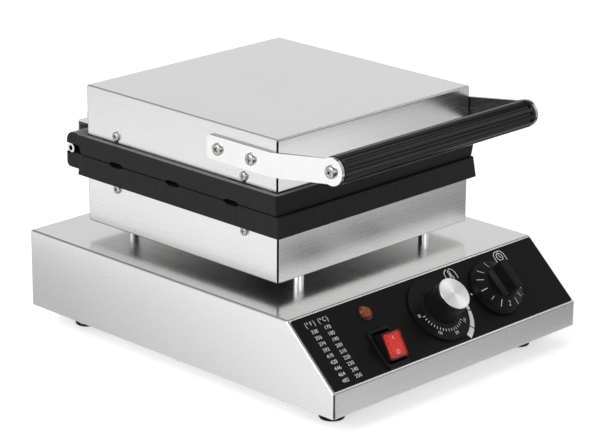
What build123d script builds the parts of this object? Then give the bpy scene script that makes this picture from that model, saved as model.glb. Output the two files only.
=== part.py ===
from build123d import *
import math
import os

# A single-head commercial waffle maker for waffles on a stick: a folded steel base with a sloped
# control panel, a lower head on four posts, and a lid with an upper plate that swings up at the rear.
# All sizes are in millimetres. +X is the user's right, +Y runs to the rear and +Z is up.
# The origin is on the table, at the middle of the whole machine's footprint.

# Base of folded sheet
base_width = 315.0
base_depth = 384.0
base_height = 72.7
lip_height = 22.6
slope_run = 54.9
sheet = 1.0
base_bend = 2.2
base_foot_bend = 0.8
return_flange = 14.0
floor_inset = 4.0
foot_height = 17.0
foot_radius = 11.0
foot_top_radius = 12.5
foot_inset = 36.0
foot_recess_radius = 5.0
foot_recess_depth = 6.0

# Head, set back from the middle of the base
head_setback = 30.0
head_gap = 10.9
lower_box_width = 243.0
lower_box_depth = 242.0
lower_box_height = 42.9
lid_width = 244.0
lid_depth = 241.0
lid_height = 45.8
lid_gap = 1.4
box_bend = 1.6
post_radius = 5.0
post_span_x = 162.0
post_span_y = 212.0

# Cast plates, drafted so that they are narrowest at the parting plane
plate_width = 255.0
plate_rear = 129.5
lower_plate_front = 127.5
upper_plate_front = 125.0
plate_height = 18.6
plate_draft = 2.0
plate_corner = 2.5
plate_edge = 0.8
plate_parting = 0.4
heater_pocket = 216.0
heater_pocket_depth = 5.5

# Waffle cavities, three on each side, with one stick slot each
cavity_length = 94.0
cavity_width = 58.0
cavity_corner = 20.0
cavity_depth = 8.4
cavity_draft = 12.0
cavity_pitch = 73.5
cavity_setback = 5.0
cavity_inner = 11.0
stud_base = 8.4
stud_height = 4.6
stud_draft = 14.0
stud_columns = 6
stud_rows = 3
stud_pitch = 14.6
slot_mouth = 20.0
slot_flat = 11.0
slot_depth = 2.2

# Hinge at the rear corners of the plates
hinge_back = 12.0
hinge_rise = 2.9
knuckle_radius = 6.5
pin_radius = 3.2
pin_head_radius = 4.6
pin_head_length = 6.0
pin_socket_radius = 2.2
pin_socket_depth = 3.5
ear_outer = 125.5
ear_back = 3.5
ear_drop = 17.0
ear_bend = 4.5
lower_knuckle_outer = 118.0
knuckle_width = 10.5
knuckle_gap = 0.5
hood_clear = 7.0
hood_back = 3.5
hood_bend = 8.6
hood_over_head = 5.0
running_clearance = 0.05

# Heaters, their clamps and the insulation
heater_radius = 4.0
heater_runs = 6
heater_pitch = 36.0
heater_run_length = 168.0
heater_pin_radius = 1.6
heater_pin_length = 16.0
clamp_width = 12.0
clamp_thickness = 3.0
clamp_length = 200.0
clamp_pitch = 66.0
clamp_boss_radius = 6.0
clamp_boss_span = 144.0
clamp_screw_radius = 2.5
insulation_thickness = 20.0
insulation_clearance = 7.0
bulb_radius = 3.0
bulb_length = 90.0

# Screws
housing_screw_radius = 2.0
housing_screw_head = 4.2
housing_screw_head_height = 2.6
housing_screw_length = 10.0
housing_screw_span = 162.0
lug_length = 14.0
lug_width = 9.0
lug_height = 12.0
lug_clear = 0.3
lower_screw_drop = 4.4
lid_screw_rise = 7.2
pad_length = 40.0
slot_clearance = 0.3
bolt_radius = 3.0
bolt_head_flats = 10.0
bolt_head_height = 4.0
hole_clearance = 0.2
small_screw_radius = 1.5
small_screw_head = 2.9
small_screw_head_height = 1.8

# Handle
arm_thickness = 3.0
arm_height = 21.4
arm_corner = 3.5
arm_end_radius = 12.0
arm_rear = -8.0
arm_bend = -86.0
arm_front = -155.5
arm_centre = 189.2
arm_lift = 9.8
arm_screw_radius = 2.5
arm_screw_head = 5.5
arm_screw_head_height = 3.2
arm_screw_rear = -22.0
arm_screw_pitch = 40.0
arm_screw_length = 9.5
arm_nut_flats = 8.0
arm_nut_height = 4.0
grip_radius = 12.6
grip_flutes = 12
grip_flute_radius = 1.7
grip_flute_depth = 1.3
grip_end_ring = 4.0
grip_end_gap = 0.3
rod_radius = 5.0
grip_screw_radius = 3.0
grip_screw_head = 5.8
grip_screw_head_height = 3.4
grip_screw_depth = 14.0

# Channel behind the lid that covers the wiring
cover_depth = 13.5
cover_rise = 10.0
cover_flange = 10.0
cover_screw_pitch = 90.0

# Control panel, measured up the slope from the lip's edge
panel_margin = 1.6
panel_thickness = 0.8
dial_x = 0.0
timer_x = 76.0
switch_x = -76.0
lamp_x = -76.5
lamp_up = 57.0
switch_up = 21.5
knob_lift = 0.6

dial_radius = 31.0
dial_rim = 1.8
dial_rise = 3.4
dial_hub_foot = 20.0
dial_hub_radius = 17.4
dial_hub_top = 26.0
cap_radius = 15.35
cap_thickness = 3.0
cap_chamfer = 0.4
knob_recess_radius = 12.5
knob_recess_top = 7.5
spindle_radius = 3.0
spindle_depth = 12.0
spindle_in_knob = 12.0
bush_radius = 5.0
bush_top = 5.0
bush_nut_flats = 14.0
bush_nut_height = 2.5
thermostat_size = 38.0
thermostat_depth = 24.0

timer_radius = 27.0
timer_rim = 1.8
timer_shoulder_radius = 25.0
timer_shoulder = 8.0
timer_neck_radius = 14.5
timer_neck = 12.0
timer_bar_foot = 15.0
timer_bar_waist = 9.2
timer_bar_flare = 16.5
timer_bar_width = 7.2
timer_bar_top = 28.0
timer_size = 44.0
timer_depth = 28.0

bezel_width = 26.8
bezel_length = 38.0
bezel_corner = 3.0
bezel_height = 2.6
switch_body_width = 24.0
switch_body_length = 34.4
switch_body_depth = 24.0
well_width = 21.6
well_length = 31.2
well_depth = 9.4
rocker_axis_up = 1.5
rocker_width = 20.0
rocker_foot = 28.0
rocker_top = 24.0
rocker_below = 5.0
rocker_above = 8.0
rocker_pivot_radius = 1.2
rocker_pivot_length = 1.6
rocker_lean = 17.0
lens_inset = 1.5
lens_height = 2.0
boot_height = 3.2
boot_clearance = 0.15

lamp_radius = 6.0
lamp_ring_radius = 6.9
lamp_ring_height = 1.0
lamp_lens_top = 4.2
lamp_body_radius = 4.6
lamp_body_depth = 20.0
lamp_nut_flats = 13.0
lamp_nut_height = 3.0
lamp_facets = 12

# Cable entry, wiring and terminal block
gland_inset = 47.5
gland_up = 32.0
gland_bore_radius = 3.75
gland_thread_radius = 8.0
gland_flats = 22.0
gland_flats_length = 5.0
gland_nut_radius = 9.6
gland_mouth_radius = 7.0
gland_length = 20.0
gland_inside = 10.0
gland_lock_flats = 22.0
gland_lock_height = 4.0
wire_tube_radius = 8.0
wire_tube_bore = 6.0
wire_tube_collar = 11.0
wire_tube_reach = 5.0
terminal_length = 54.0
terminal_width = 20.0
terminal_height = 16.0
terminal_poles = 3
terminal_pole_radius = 3.0
terminal_y = 110.0

# Vents in the bottom cover
vent_count = 9
vent_length = 60.0
vent_width = 4.0
vent_pitch = 12.0
vent_front_y = -70.0

# Levels and places worked out from the sizes above
slope_rise = base_height - lip_height
slope_length = math.hypot(slope_rise, slope_run)
slope_sin = slope_rise / slope_length
slope_cos = slope_run / slope_length
dial_up = slope_length / 2
cap_top = dial_hub_top + cap_thickness
front_reach = cap_top * slope_sin - (dial_up - cap_radius + cap_chamfer) * slope_cos
base_y = (front_reach - gland_length) / 2
base_z = foot_height + sheet
base_top_z = base_z + base_height
base_front_y = base_y - base_depth / 2
base_rear_y = base_y + base_depth / 2
head_y = base_y + head_setback
lower_box_z = base_top_z + head_gap
lower_plate_z = lower_box_z + lower_box_height
parting_z = lower_plate_z + plate_height
upper_parting_z = parting_z + plate_parting
upper_plate_z = upper_parting_z + plate_height
lid_z = upper_plate_z + lid_gap
lid_top_z = lid_z + lid_height
plate_rear_y = head_y + plate_rear
cavity_y = head_y + cavity_setback
hinge_y = plate_rear_y + hinge_back
hinge_z = parting_z + hinge_rise
lid_side = lid_width / 2
lower_side = lower_box_width / 2
arm_z = base_z + arm_centre
lid_rear_y = head_y + lid_depth / 2
slot_reach = plate_width / 2
gland_x = base_width / 2 - gland_inset

panel_plane = Plane(
    origin=(0, base_front_y, base_z + lip_height),
    x_dir=(1, 0, 0),
    z_dir=(0, -slope_sin, slope_cos),
)
UPWARD = (Align.CENTER, Align.CENTER, Align.MIN)
DOWNWARD = (Align.CENTER, Align.CENTER, Align.MAX)


def block(x0, x1, y0, y1, z0, z1):
    """A box between two corners."""
    middle = Pos((x0 + x1) / 2, (y0 + y1) / 2, (z0 + z1) / 2)
    return middle * Box(abs(x1 - x0), abs(y1 - y0), abs(z1 - z0))


def post(radius, x, y, z0, z1):
    """An upright cylinder between two heights."""
    return Pos(x, y, z0) * Cylinder(radius, z1 - z0, align=UPWARD)


def bar(radius, x0, x1, y, z):
    """A cylinder along X between two places."""
    low = min(x0, x1)
    return Pos(low, y, z) * Rot(0, 90, 0) * Cylinder(radius, abs(x1 - x0), align=UPWARD)


def hexagon(flats, height):
    """A nut blank standing on its origin."""
    return extrude(RegularPolygon(flats / 2, 6, major_radius=False), amount=height)


def on_panel(x, up, off=0.0):
    """The place of a control, from the middle of the panel, up the slope and off its face."""
    return panel_plane.location * Pos(x, up, off)


def turned(points):
    """A solid of revolution about the control's axis, from points of radius and height."""
    return revolve(make_face(Plane.XZ * Polyline(points, close=True)), Axis.Z)


def solids_of(pieces):
    """One node made of several separate solids."""
    return Compound(children=[solid for piece in pieces for solid in piece.solids()])


def corners(span_x, span_y, middle_y):
    """Four places on a rectangle."""
    return [
        (side_x * span_x / 2, middle_y + side_y * span_y / 2)
        for side_x in (-1, 1)
        for side_y in (-1, 1)
    ]


foot_places = corners(base_width - 2 * foot_inset, base_depth - 2 * foot_inset, base_y)
post_places = corners(post_span_x, post_span_y, head_y)
screw_rows = [head_y - housing_screw_span / 2, head_y + housing_screw_span / 2]


def folded_box(width, depth, height, bend, open_top):
    """A box of bent sheet, open above or below, with its open edge at the height named."""
    shape = Box(width, depth, height, align=UPWARD)
    closed_end = shape.faces().sort_by(Axis.Z)[0 if open_top else -1]
    edges = shape.edges().filter_by(Axis.Z) + closed_end.edges()
    shape = fillet(edges, radius=bend)
    opening = shape.faces().sort_by(Axis.Z)[-1 if open_top else 0]
    return offset(shape, amount=-sheet, openings=opening)


def screw_slots(side, edge_z, screw_z):
    """Cutters for the slots that let a housing slide over its screws."""
    width = 2 * (housing_screw_radius + slot_clearance)
    cutters = []
    for y in screw_rows:
        for sign in (-1, 1):
            inner = sign * (side - 3 * sheet)
            outer = sign * (side + sheet)
            cutters.append(block(inner, outer, y - width / 2, y + width / 2, edge_z, screw_z))
            cutters.append(bar(width / 2, inner, outer, y, screw_z))
    return cutters


def make_base_housing():
    """The folded base with its slope, lip, return flanges and cut-outs."""
    profile = Plane.YZ * Polyline(
        (base_rear_y, base_z),
        (base_rear_y, base_top_z),
        (base_front_y + slope_run, base_top_z),
        (base_front_y, base_z + lip_height),
        (base_front_y, base_z),
        close=True,
    )
    shape = extrude(make_face(profile), amount=base_width / 2, both=True)
    bottom = shape.faces().sort_by(Axis.Z)[0]
    kept = bottom.edges()
    bends = [edge for edge in shape.edges() if edge not in kept]
    shape = fillet(bends, radius=base_bend)
    opening = shape.faces().sort_by(Axis.Z)[0]
    shape = offset(shape, amount=-sheet, openings=opening)
    inner_x = base_width / 2 - sheet / 2
    inner_y = base_depth / 2 - sheet / 2
    ring = block(-inner_x, inner_x, base_y - inner_y, base_y + inner_y, base_z, base_z + sheet)
    open_x = base_width / 2 - return_flange
    open_y = base_depth / 2 - return_flange
    ring -= block(-open_x, open_x, base_y - open_y, base_y + open_y, base_z, base_z + sheet)
    corner = base_bend
    ring = fillet(
        [e for e in ring.edges().filter_by(Axis.Z) if abs(e.center().X) > open_x + corner],
        radius=base_bend - sheet / 2,
    )
    shape += ring
    shape = fillet(shape.faces().sort_by(Axis.Z)[0].outer_wire().edges(), radius=base_foot_bend)
    for x, y in post_places:
        shape -= post(bolt_radius + hole_clearance, x, y, base_top_z - 2 * sheet, base_top_z + sheet)
    shape -= post(wire_tube_radius, 0, head_y, base_top_z - 2 * sheet, base_top_z + sheet)
    for x in (dial_x, timer_x):
        shape -= on_panel(x, dial_up, -2 * sheet) * Cylinder(
            bush_radius + hole_clearance, 4 * sheet, align=UPWARD
        )
    shape -= on_panel(lamp_x, lamp_up, -2 * sheet) * Cylinder(
        lamp_body_radius + hole_clearance, 4 * sheet, align=UPWARD
    )
    shape -= on_panel(switch_x, switch_up, -2 * sheet) * Box(
        switch_body_width + 2 * hole_clearance,
        switch_body_length + 2 * hole_clearance,
        4 * sheet,
        align=UPWARD,
    )
    shape -= gland_place() * Cylinder(gland_thread_radius + hole_clearance, 6 * sheet)
    for x, y in floor_screw_places():
        shape -= post(small_screw_radius, x, y, base_z - sheet, base_z + 2 * sheet)
    return shape


def gland_place():
    """The cable entry on the rear wall, with its own Z pointing out of the machine."""
    return Pos(gland_x, base_rear_y, base_z + gland_up) * Rot(-90, 0, 0)


def floor_screw_places():
    """Screws through the bottom cover into the base's return flanges."""
    x = base_width / 2 - return_flange / 2
    return [
        (side * x, base_y + row * base_depth / 3) for side in (-1, 1) for row in (-1, 0, 1)
    ]


def make_base_floor():
    """The bottom cover, with vents and the screw holes of the feet."""
    x = base_width / 2 - floor_inset
    y = base_depth / 2 - floor_inset
    shape = block(-x, x, base_y - y, base_y + y, base_z - sheet, base_z)
    for index in range(vent_count):
        vent_y = base_y + vent_front_y + index * vent_pitch
        slot = Pos(0, vent_y, base_z - 1.5 * sheet) * extrude(
            SlotOverall(vent_length, vent_width), amount=2 * sheet
        )
        shape -= slot
    for foot_x, foot_y in foot_places:
        shape -= post(housing_screw_radius, foot_x, foot_y, base_z - 2 * sheet, base_z + sheet)
    for screw_x, screw_y in floor_screw_places():
        shape -= post(small_screw_radius, screw_x, screw_y, base_z - 2 * sheet, base_z + sheet)
    return shape


def make_floor_screws():
    """Small screws with their heads under the bottom cover."""
    screws = []
    low = base_z - sheet
    for x, y in floor_screw_places():
        head = post(small_screw_head, x, y, low - small_screw_head_height, low)
        screws.append(head + post(small_screw_radius, x, y, low, base_z + 3 * sheet))
    return solids_of(screws)


def make_rubber_feet():
    """Four tapered rubber feet with a recess for the screw."""
    foot = loft([Circle(foot_radius), Pos(0, 0, foot_height) * Circle(foot_top_radius)])
    foot = fillet(foot.edges().sort_by(Axis.Z)[0], radius=1.0)
    foot -= Cylinder(foot_recess_radius, foot_recess_depth, align=UPWARD)
    foot -= Cylinder(housing_screw_radius, foot_height, align=UPWARD)
    return solids_of([Pos(x, y, 0) * foot for x, y in foot_places])


def make_foot_screws():
    """Screws up through the feet, with a nut inside the base."""
    pieces = []
    for x, y in foot_places:
        head_top = foot_recess_depth
        screw = post(housing_screw_head, x, y, head_top - housing_screw_head_height, head_top)
        screw += post(housing_screw_radius, x, y, head_top, base_z + 5 * sheet)
        nut = Pos(x, y, base_z) * hexagon(2 * housing_screw_head, 3 * sheet)
        nut -= post(housing_screw_radius, x, y, base_z, base_z + 5 * sheet)
        pieces += [screw, nut]
    return solids_of(pieces)


def make_control_panel():
    """The black overlay with its cut-outs."""
    width = base_width - 2 * base_bend - panel_margin
    length = slope_length - base_bend - panel_margin
    shape = on_panel(0, slope_length / 2) * extrude(
        RectangleRounded(width, length, panel_margin), amount=panel_thickness
    )
    for x in (dial_x, timer_x):
        shape -= on_panel(x, dial_up) * Cylinder(
            bush_radius + hole_clearance, 4 * sheet
        )
    shape -= on_panel(lamp_x, lamp_up) * Cylinder(lamp_body_radius + hole_clearance, 4 * sheet)
    shape -= on_panel(switch_x, switch_up) * Box(
        switch_body_width + 2 * hole_clearance,
        switch_body_length + 2 * hole_clearance,
        4 * sheet,
    )
    return shape


def make_support_posts():
    """Four spacer tubes between the base and the lower head."""
    tubes = []
    for x, y in post_places:
        tube = post(post_radius, x, y, base_top_z, lower_box_z)
        tube -= post(bolt_radius + hole_clearance, x, y, base_top_z, lower_box_z)
        tubes.append(tube)
    return solids_of(tubes)


def make_post_bolts():
    """Bolts from under the base's top through the posts."""
    bolts = []
    low = base_top_z - sheet
    for x, y in post_places:
        head = Pos(x, y, low - bolt_head_height) * hexagon(bolt_head_flats, bolt_head_height)
        shank = post(bolt_radius, x, y, low, lower_box_z + sheet + bolt_head_height + sheet)
        bolts.append(head + shank)
    return solids_of(bolts)


def make_post_nuts():
    """Nuts on the floor of the lower head's box."""
    nuts = []
    low = lower_box_z + sheet
    for x, y in post_places:
        nut = Pos(x, y, low) * hexagon(bolt_head_flats, bolt_head_height)
        nuts.append(nut - post(bolt_radius, x, y, low, low + bolt_head_height))
    return solids_of(nuts)


def make_lower_housing():
    """The folded box under the lower plate."""
    shape = Pos(0, head_y, lower_box_z) * folded_box(
        lower_box_width, lower_box_depth, lower_box_height, box_bend, True
    )
    for x, y in post_places:
        shape -= post(bolt_radius + hole_clearance, x, y, lower_box_z - sheet, lower_box_z + 2 * sheet)
    shape -= post(wire_tube_radius, 0, head_y, lower_box_z - sheet, lower_box_z + 2 * sheet)
    for cutter in screw_slots(lower_side, lower_plate_z + sheet, lower_plate_z - lower_screw_drop):
        shape -= cutter
    return shape


def make_wire_tube():
    """The flanged nipple that carries the wiring from the base to the lower head."""
    shape = post(wire_tube_collar, 0, head_y, base_top_z, lower_box_z)
    low = base_top_z - sheet - wire_tube_reach
    high = lower_box_z + sheet + wire_tube_reach
    shape += post(wire_tube_radius, 0, head_y, low, high)
    return shape - post(wire_tube_bore, 0, head_y, low, high)


def plate_blank(front):
    """A plate standing on its outer face, with its parting face up, at the machine's X and Y."""
    depth = plate_rear + front
    middle_y = head_y + (plate_rear - front) / 2
    draft_angle = math.degrees(math.atan2(plate_draft, plate_height))
    shape = extrude(Pos(0, middle_y) * Rectangle(plate_width, depth), plate_height, taper=draft_angle)
    sides = [e for e in shape.edges() if abs(e.center().Z - plate_height / 2) < 0.1]
    shape = fillet(sides, radius=plate_corner)
    top = shape.faces().sort_by(Axis.Z)[-1]
    shape = fillet(top.edges(), radius=plate_edge)
    shape -= Pos(0, head_y) * extrude(
        RectangleRounded(heater_pocket, heater_pocket, 10 * sheet), amount=heater_pocket_depth
    )
    for x in (-clamp_boss_span / 2, clamp_boss_span / 2):
        for row in (-1, 0, 1):
            y = head_y + row * clamp_pitch
            low = heater_pocket_depth - 2 * heater_radius
            shape += post(clamp_boss_radius, x, y, low, heater_pocket_depth)
            shape -= post(clamp_screw_radius, x, y, low, heater_pocket_depth)
    for y in screw_rows:
        for sign in (-1, 1):
            outer = sign * (lower_side - sheet - lug_clear)
            inner = outer - sign * lug_width
            shape += block(inner, outer, y - lug_length / 2, y + lug_length / 2, -lug_height, 0)
    return shape


def cavity_places():
    """The middle of each cavity and the side on which its stick comes out."""
    x = cavity_inner + cavity_length / 2
    return [(side * x, cavity_y + row * cavity_pitch, side) for side in (-1, 1) for row in (-1, 0, 1)]


def cut_cavities(shape):
    """Cavities with rows of studs, and the stick slots that lead out of them."""
    floor_z = plate_height - cavity_depth
    pocket = Plane.XY.offset(plate_height) * RectangleRounded(cavity_length, cavity_width, cavity_corner)
    pocket = extrude(pocket, amount=-cavity_depth, taper=cavity_draft)
    stud = extrude(Rectangle(stud_base, stud_base), amount=stud_height, taper=stud_draft)
    studs = []
    for column in range(stud_columns):
        for row in range(stud_rows):
            x = (column - (stud_columns - 1) / 2) * stud_pitch
            y = (row - (stud_rows - 1) / 2) * stud_pitch
            studs.append(Pos(x, y, floor_z) * stud)
    groove = Plane.YZ * Polyline(
        (-slot_flat / 2, -slot_depth),
        (slot_flat / 2, -slot_depth),
        (slot_mouth / 2, 0),
        (slot_mouth / 2, plate_parting),
        (-slot_mouth / 2, plate_parting),
        (-slot_mouth / 2, 0),
        close=True,
    )
    groove_start = cavity_inner + cavity_length - slot_depth
    groove = extrude(make_face(groove), amount=slot_reach - groove_start)
    for x, y, side in cavity_places():
        shape -= Pos(x, y) * pocket
        start = groove_start if side > 0 else -slot_reach
        shape -= Pos(start, y, plate_height) * groove
    added = [Pos(x, y) * piece for x, y, side in cavity_places() for piece in studs]
    return shape + added


def cut_lug_holes(shape, screw_z):
    """Threaded holes for the housing screws, in the plate's own frame."""
    for y in screw_rows:
        for sign in (-1, 1):
            outer = sign * lower_side
            shape -= bar(housing_screw_radius, outer - sign * housing_screw_length, outer, y, screw_z)
    return shape


def ear_profile(points, x0, x1):
    """A block with the profile given round the hinge's axis, between two places along X."""
    outline = Plane.YZ * Polyline(points, close=True)
    solid = extrude(make_face(outline), amount=abs(x1 - x0))
    return Pos(min(x0, x1), hinge_y, hinge_z) * solid


def make_lower_plate():
    """The lower casting, with the outer hinge knuckles."""
    shape = cut_cavities(plate_blank(lower_plate_front))
    shape = cut_lug_holes(shape, -lower_screw_drop)
    shape = Pos(0, 0, lower_plate_z) * shape
    inner = lower_knuckle_outer - knuckle_width
    for side in (-1, 1):
        ear = ear_profile(
            [
                (-hinge_back - 4 * plate_draft, -ear_drop),
                (ear_back, -ear_drop),
                (ear_back, -hinge_rise),
                (-hinge_back - 4 * plate_draft, -hinge_rise),
            ],
            side * inner,
            side * ear_outer,
        )
        foot = ear.edges().filter_by(Axis.X).sort_by(Axis.Y)[-2:].sort_by(Axis.Z)[0]
        ear = fillet(foot, radius=ear_bend)
        head_well = pin_head_radius + hole_clearance
        ear -= bar(head_well, side * lower_knuckle_outer, side * 2 * ear_outer, hinge_y, hinge_z)
        ear += bar(knuckle_radius, side * inner, side * lower_knuckle_outer, hinge_y, hinge_z)
        shape += ear
        shape -= bar(pin_radius, side * inner, side * lower_knuckle_outer, hinge_y, hinge_z)
    return shape


def make_upper_plate():
    """The upper casting, with the hoods over the pins and the inner knuckles."""
    shape = cut_cavities(plate_blank(upper_plate_front))
    shape = cut_lug_holes(shape, -lid_screw_rise)
    for y in screw_rows:
        for sign in (-1, 1):
            outer = sign * lid_side
            inner = outer - sign * 6 * sheet
            shape += block(inner, outer, y - pad_length / 2, y + pad_length / 2, -lid_gap, 0)
    for sign in (-1, 1):
        for end in (-1, 1):
            x = sign * lid_side
            y = head_y + end * lid_depth / 2
            shape += block(x, x - sign * pad_length / 2, y, y - end * 6 * sheet, -lid_gap, 0)
    shape = Pos(0, 0, upper_plate_z) * mirror(shape, Plane.XY)
    knuckle_outer = lower_knuckle_outer - knuckle_width - knuckle_gap
    knuckle_inner = knuckle_outer - knuckle_width
    hood_top = upper_plate_z - hinge_z
    for side in (-1, 1):
        hood = ear_profile(
            [
                (-hinge_back - 4 * plate_draft, hood_clear),
                (hood_back, hood_clear),
                (hood_back, hood_top),
                (-hinge_back - 4 * plate_draft, hood_top),
            ],
            side * knuckle_inner,
            side * ear_outer,
        )
        crown = hood.edges().filter_by(Axis.X).sort_by(Axis.Y)[-2:].sort_by(Axis.Z)[-1]
        hood = fillet(crown, radius=hood_bend)
        hood += ear_profile(
            [
                (-hinge_back - 4 * plate_draft, hood_over_head),
                (hood_back, hood_over_head),
                (hood_back, hood_clear),
                (-hinge_back - 4 * plate_draft, hood_clear),
            ],
            side * lower_knuckle_outer,
            side * ear_outer,
        )
        web = ear_profile(
            [
                (-knuckle_radius, 0),
                (knuckle_radius - 2 * sheet, 0),
                (hood_back, hood_clear + sheet),
                (-knuckle_radius, hood_clear + sheet),
            ],
            side * knuckle_inner,
            side * knuckle_outer,
        )
        hood += web
        hood += bar(knuckle_radius, side * knuckle_inner, side * knuckle_outer, hinge_y, hinge_z)
        shape += hood
        shape -= bar(
            pin_radius + running_clearance, side * knuckle_inner, side * knuckle_outer, hinge_y, hinge_z
        )
    return shape


def make_hinge_pins():
    """Two headed pins, each with a hexagon socket."""
    pins = []
    inner = lower_knuckle_outer - 2 * knuckle_width - knuckle_gap
    for side in (-1, 1):
        pin = bar(pin_radius, side * inner, side * lower_knuckle_outer, hinge_y, hinge_z)
        head_end = side * (lower_knuckle_outer + pin_head_length)
        pin += bar(pin_head_radius, side * lower_knuckle_outer, head_end, hinge_y, hinge_z)
        socket = Rot(0, 90, 0) * hexagon(2 * pin_socket_radius, pin_socket_depth)
        start = head_end if side < 0 else head_end - pin_socket_depth
        pin -= Pos(start, hinge_y, hinge_z) * socket
        pins.append(pin)
    return solids_of(pins)


def make_heater(level):
    """A tubular element bent into runs, at the height of its axis, with a pin at each end."""
    first_x = -heater_pitch * (heater_runs - 1) / 2
    rear_y = head_y + heater_run_length / 2
    front_y = head_y - heater_run_length / 2
    path = []
    for run in range(heater_runs):
        x = first_x + run * heater_pitch
        start, end = (rear_y, front_y) if run % 2 == 0 else (front_y, rear_y)
        path.append(Line((x, start, level), (x, end, level)))
        if run < heater_runs - 1:
            bulge = -heater_pitch / 2 if run % 2 == 0 else heater_pitch / 2
            path.append(
                ThreePointArc(
                    (x, end, level),
                    (x + heater_pitch / 2, end + bulge, level),
                    (x + heater_pitch, end, level),
                )
            )
    section = Plane(origin=(first_x, rear_y, level), z_dir=(0, -1, 0)) * Circle(heater_radius)
    shape = sweep(section, path=Wire(path))
    for x in (first_x, -first_x):
        pin = Cylinder(heater_pin_radius, heater_pin_length, align=UPWARD)
        shape += Pos(x, rear_y, level) * Rot(-90, 0, 0) * pin
    return shape


def make_clamps(level):
    """Bars across the element, at the height of their lower face."""
    bars = []
    for row in (-1, 0, 1):
        y = head_y + row * clamp_pitch
        half = clamp_length / 2
        strap = block(-half, half, y - clamp_width / 2, y + clamp_width / 2, level, level + clamp_thickness)
        for x in (-clamp_boss_span / 2, clamp_boss_span / 2):
            strap -= post(clamp_screw_radius, x, y, level, level + clamp_thickness)
        bars.append(strap)
    return solids_of(bars)


def make_clamp_screws(face, direction):
    """Pan-head screws through the clamp bars, from the bars' outer face."""
    screws = []
    for row in (-1, 0, 1):
        for x in (-clamp_boss_span / 2, clamp_boss_span / 2):
            y = head_y + row * clamp_pitch
            head = Cylinder(housing_screw_head, housing_screw_head_height, align=DOWNWARD)
            shank = Cylinder(clamp_screw_radius, clamp_thickness + heater_radius, align=UPWARD)
            flip = Rot(0, 0, 0) if direction > 0 else Rot(180, 0, 0)
            screws.append(Pos(x, y, face) * flip * (head + shank))
    return solids_of(screws)


def make_lower_insulation():
    """Mineral board on the floor of the lower box, holed for the nuts and the wires."""
    low = lower_box_z + sheet
    half_x = lower_box_width / 2 - sheet - insulation_clearance
    half_y = lower_box_depth / 2 - sheet - insulation_clearance
    board = block(-half_x, half_x, head_y - half_y, head_y + half_y, low, low + insulation_thickness)
    for x, y in post_places:
        board -= post(bolt_head_flats, x, y, low, low + insulation_thickness)
    return board - post(wire_tube_collar, 0, head_y, low, low + insulation_thickness)


def make_upper_insulation():
    """Mineral board against the top of the lid."""
    high = lid_top_z - sheet
    half_x = lid_width / 2 - sheet - insulation_clearance
    half_y = lid_depth / 2 - sheet - insulation_clearance
    return block(-half_x, half_x, head_y - half_y, head_y + half_y, high - insulation_thickness, high)


def make_housing_screws(side, z):
    """Pan-head screws through a housing's slots into the plate's lugs."""
    screws = []
    for y in screw_rows:
        for sign in (-1, 1):
            face = sign * side
            head = bar(housing_screw_head, face, face + sign * housing_screw_head_height, y, z)
            tip = sign * (lower_side - housing_screw_length)
            screws.append(head + bar(housing_screw_radius, face, tip, y, z))
    return solids_of(screws)


def make_thermostat_bulb():
    """The sensing bulb, clipped between two runs of the lower element."""
    level = lower_plate_z + heater_pocket_depth - bulb_radius
    bulb = Cylinder(bulb_radius, bulb_length)
    return Pos(0, head_y, level) * Rot(90, 0, 0) * bulb


def make_lid_housing():
    """The folded cover over the upper plate."""
    shape = Pos(0, head_y, lid_z) * folded_box(lid_width, lid_depth, lid_height, box_bend, False)
    slot_top = upper_plate_z + lid_screw_rise
    for cutter in screw_slots(lid_side, lid_z - sheet, slot_top):
        shape -= cutter
    for y in arm_screw_rows():
        for sign in (-1, 1):
            inner = sign * (lid_side - 2 * sheet)
            outer = sign * (lid_side + sheet)
            shape -= bar(arm_screw_radius + hole_clearance, inner, outer, y, arm_z)
    for x in cover_screw_columns():
        hole = Cylinder(small_screw_radius, 4 * sheet)
        shape -= Pos(x, lid_rear_y, cover_screw_z()) * Rot(90, 0, 0) * hole
    return shape


def arm_screw_rows():
    """The places along Y of the two screws in each arm."""
    return [base_y + arm_screw_rear, base_y + arm_screw_rear - arm_screw_pitch]


def cover_screw_columns():
    """The places along X of the rear channel's screws."""
    return [-cover_screw_pitch, 0, cover_screw_pitch]


def cover_screw_z():
    """The height of the rear channel's screws."""
    return lid_z + cover_rise + cover_flange / 2


def make_rear_wire_cover():
    """A folded channel behind the lid: a flange up the lid, a top and a rear wall."""
    half = lid_side - sheet
    low = lid_z + sheet / 2
    high = lid_z + cover_rise
    rear = lid_rear_y + cover_depth
    shape = block(-half, half, lid_rear_y, rear, high - sheet, high)
    shape += block(-half, half, rear - sheet, rear, low, high)
    shape += block(-half, half, lid_rear_y, lid_rear_y + sheet, high - sheet, high + cover_flange)
    for x in cover_screw_columns():
        hole = Cylinder(small_screw_radius, 4 * sheet)
        shape -= Pos(x, lid_rear_y, cover_screw_z()) * Rot(90, 0, 0) * hole
    return shape


def make_rear_cover_screws():
    """Small screws that hold the rear channel to the lid."""
    screws = []
    for x in cover_screw_columns():
        head = Cylinder(small_screw_head, small_screw_head_height, align=UPWARD)
        shank = Cylinder(small_screw_radius, 5 * sheet, align=DOWNWARD)
        place = Pos(x, lid_rear_y + sheet, cover_screw_z()) * Rot(-90, 0, 0)
        screws.append(place * (head + shank))
    return solids_of(screws)


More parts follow.
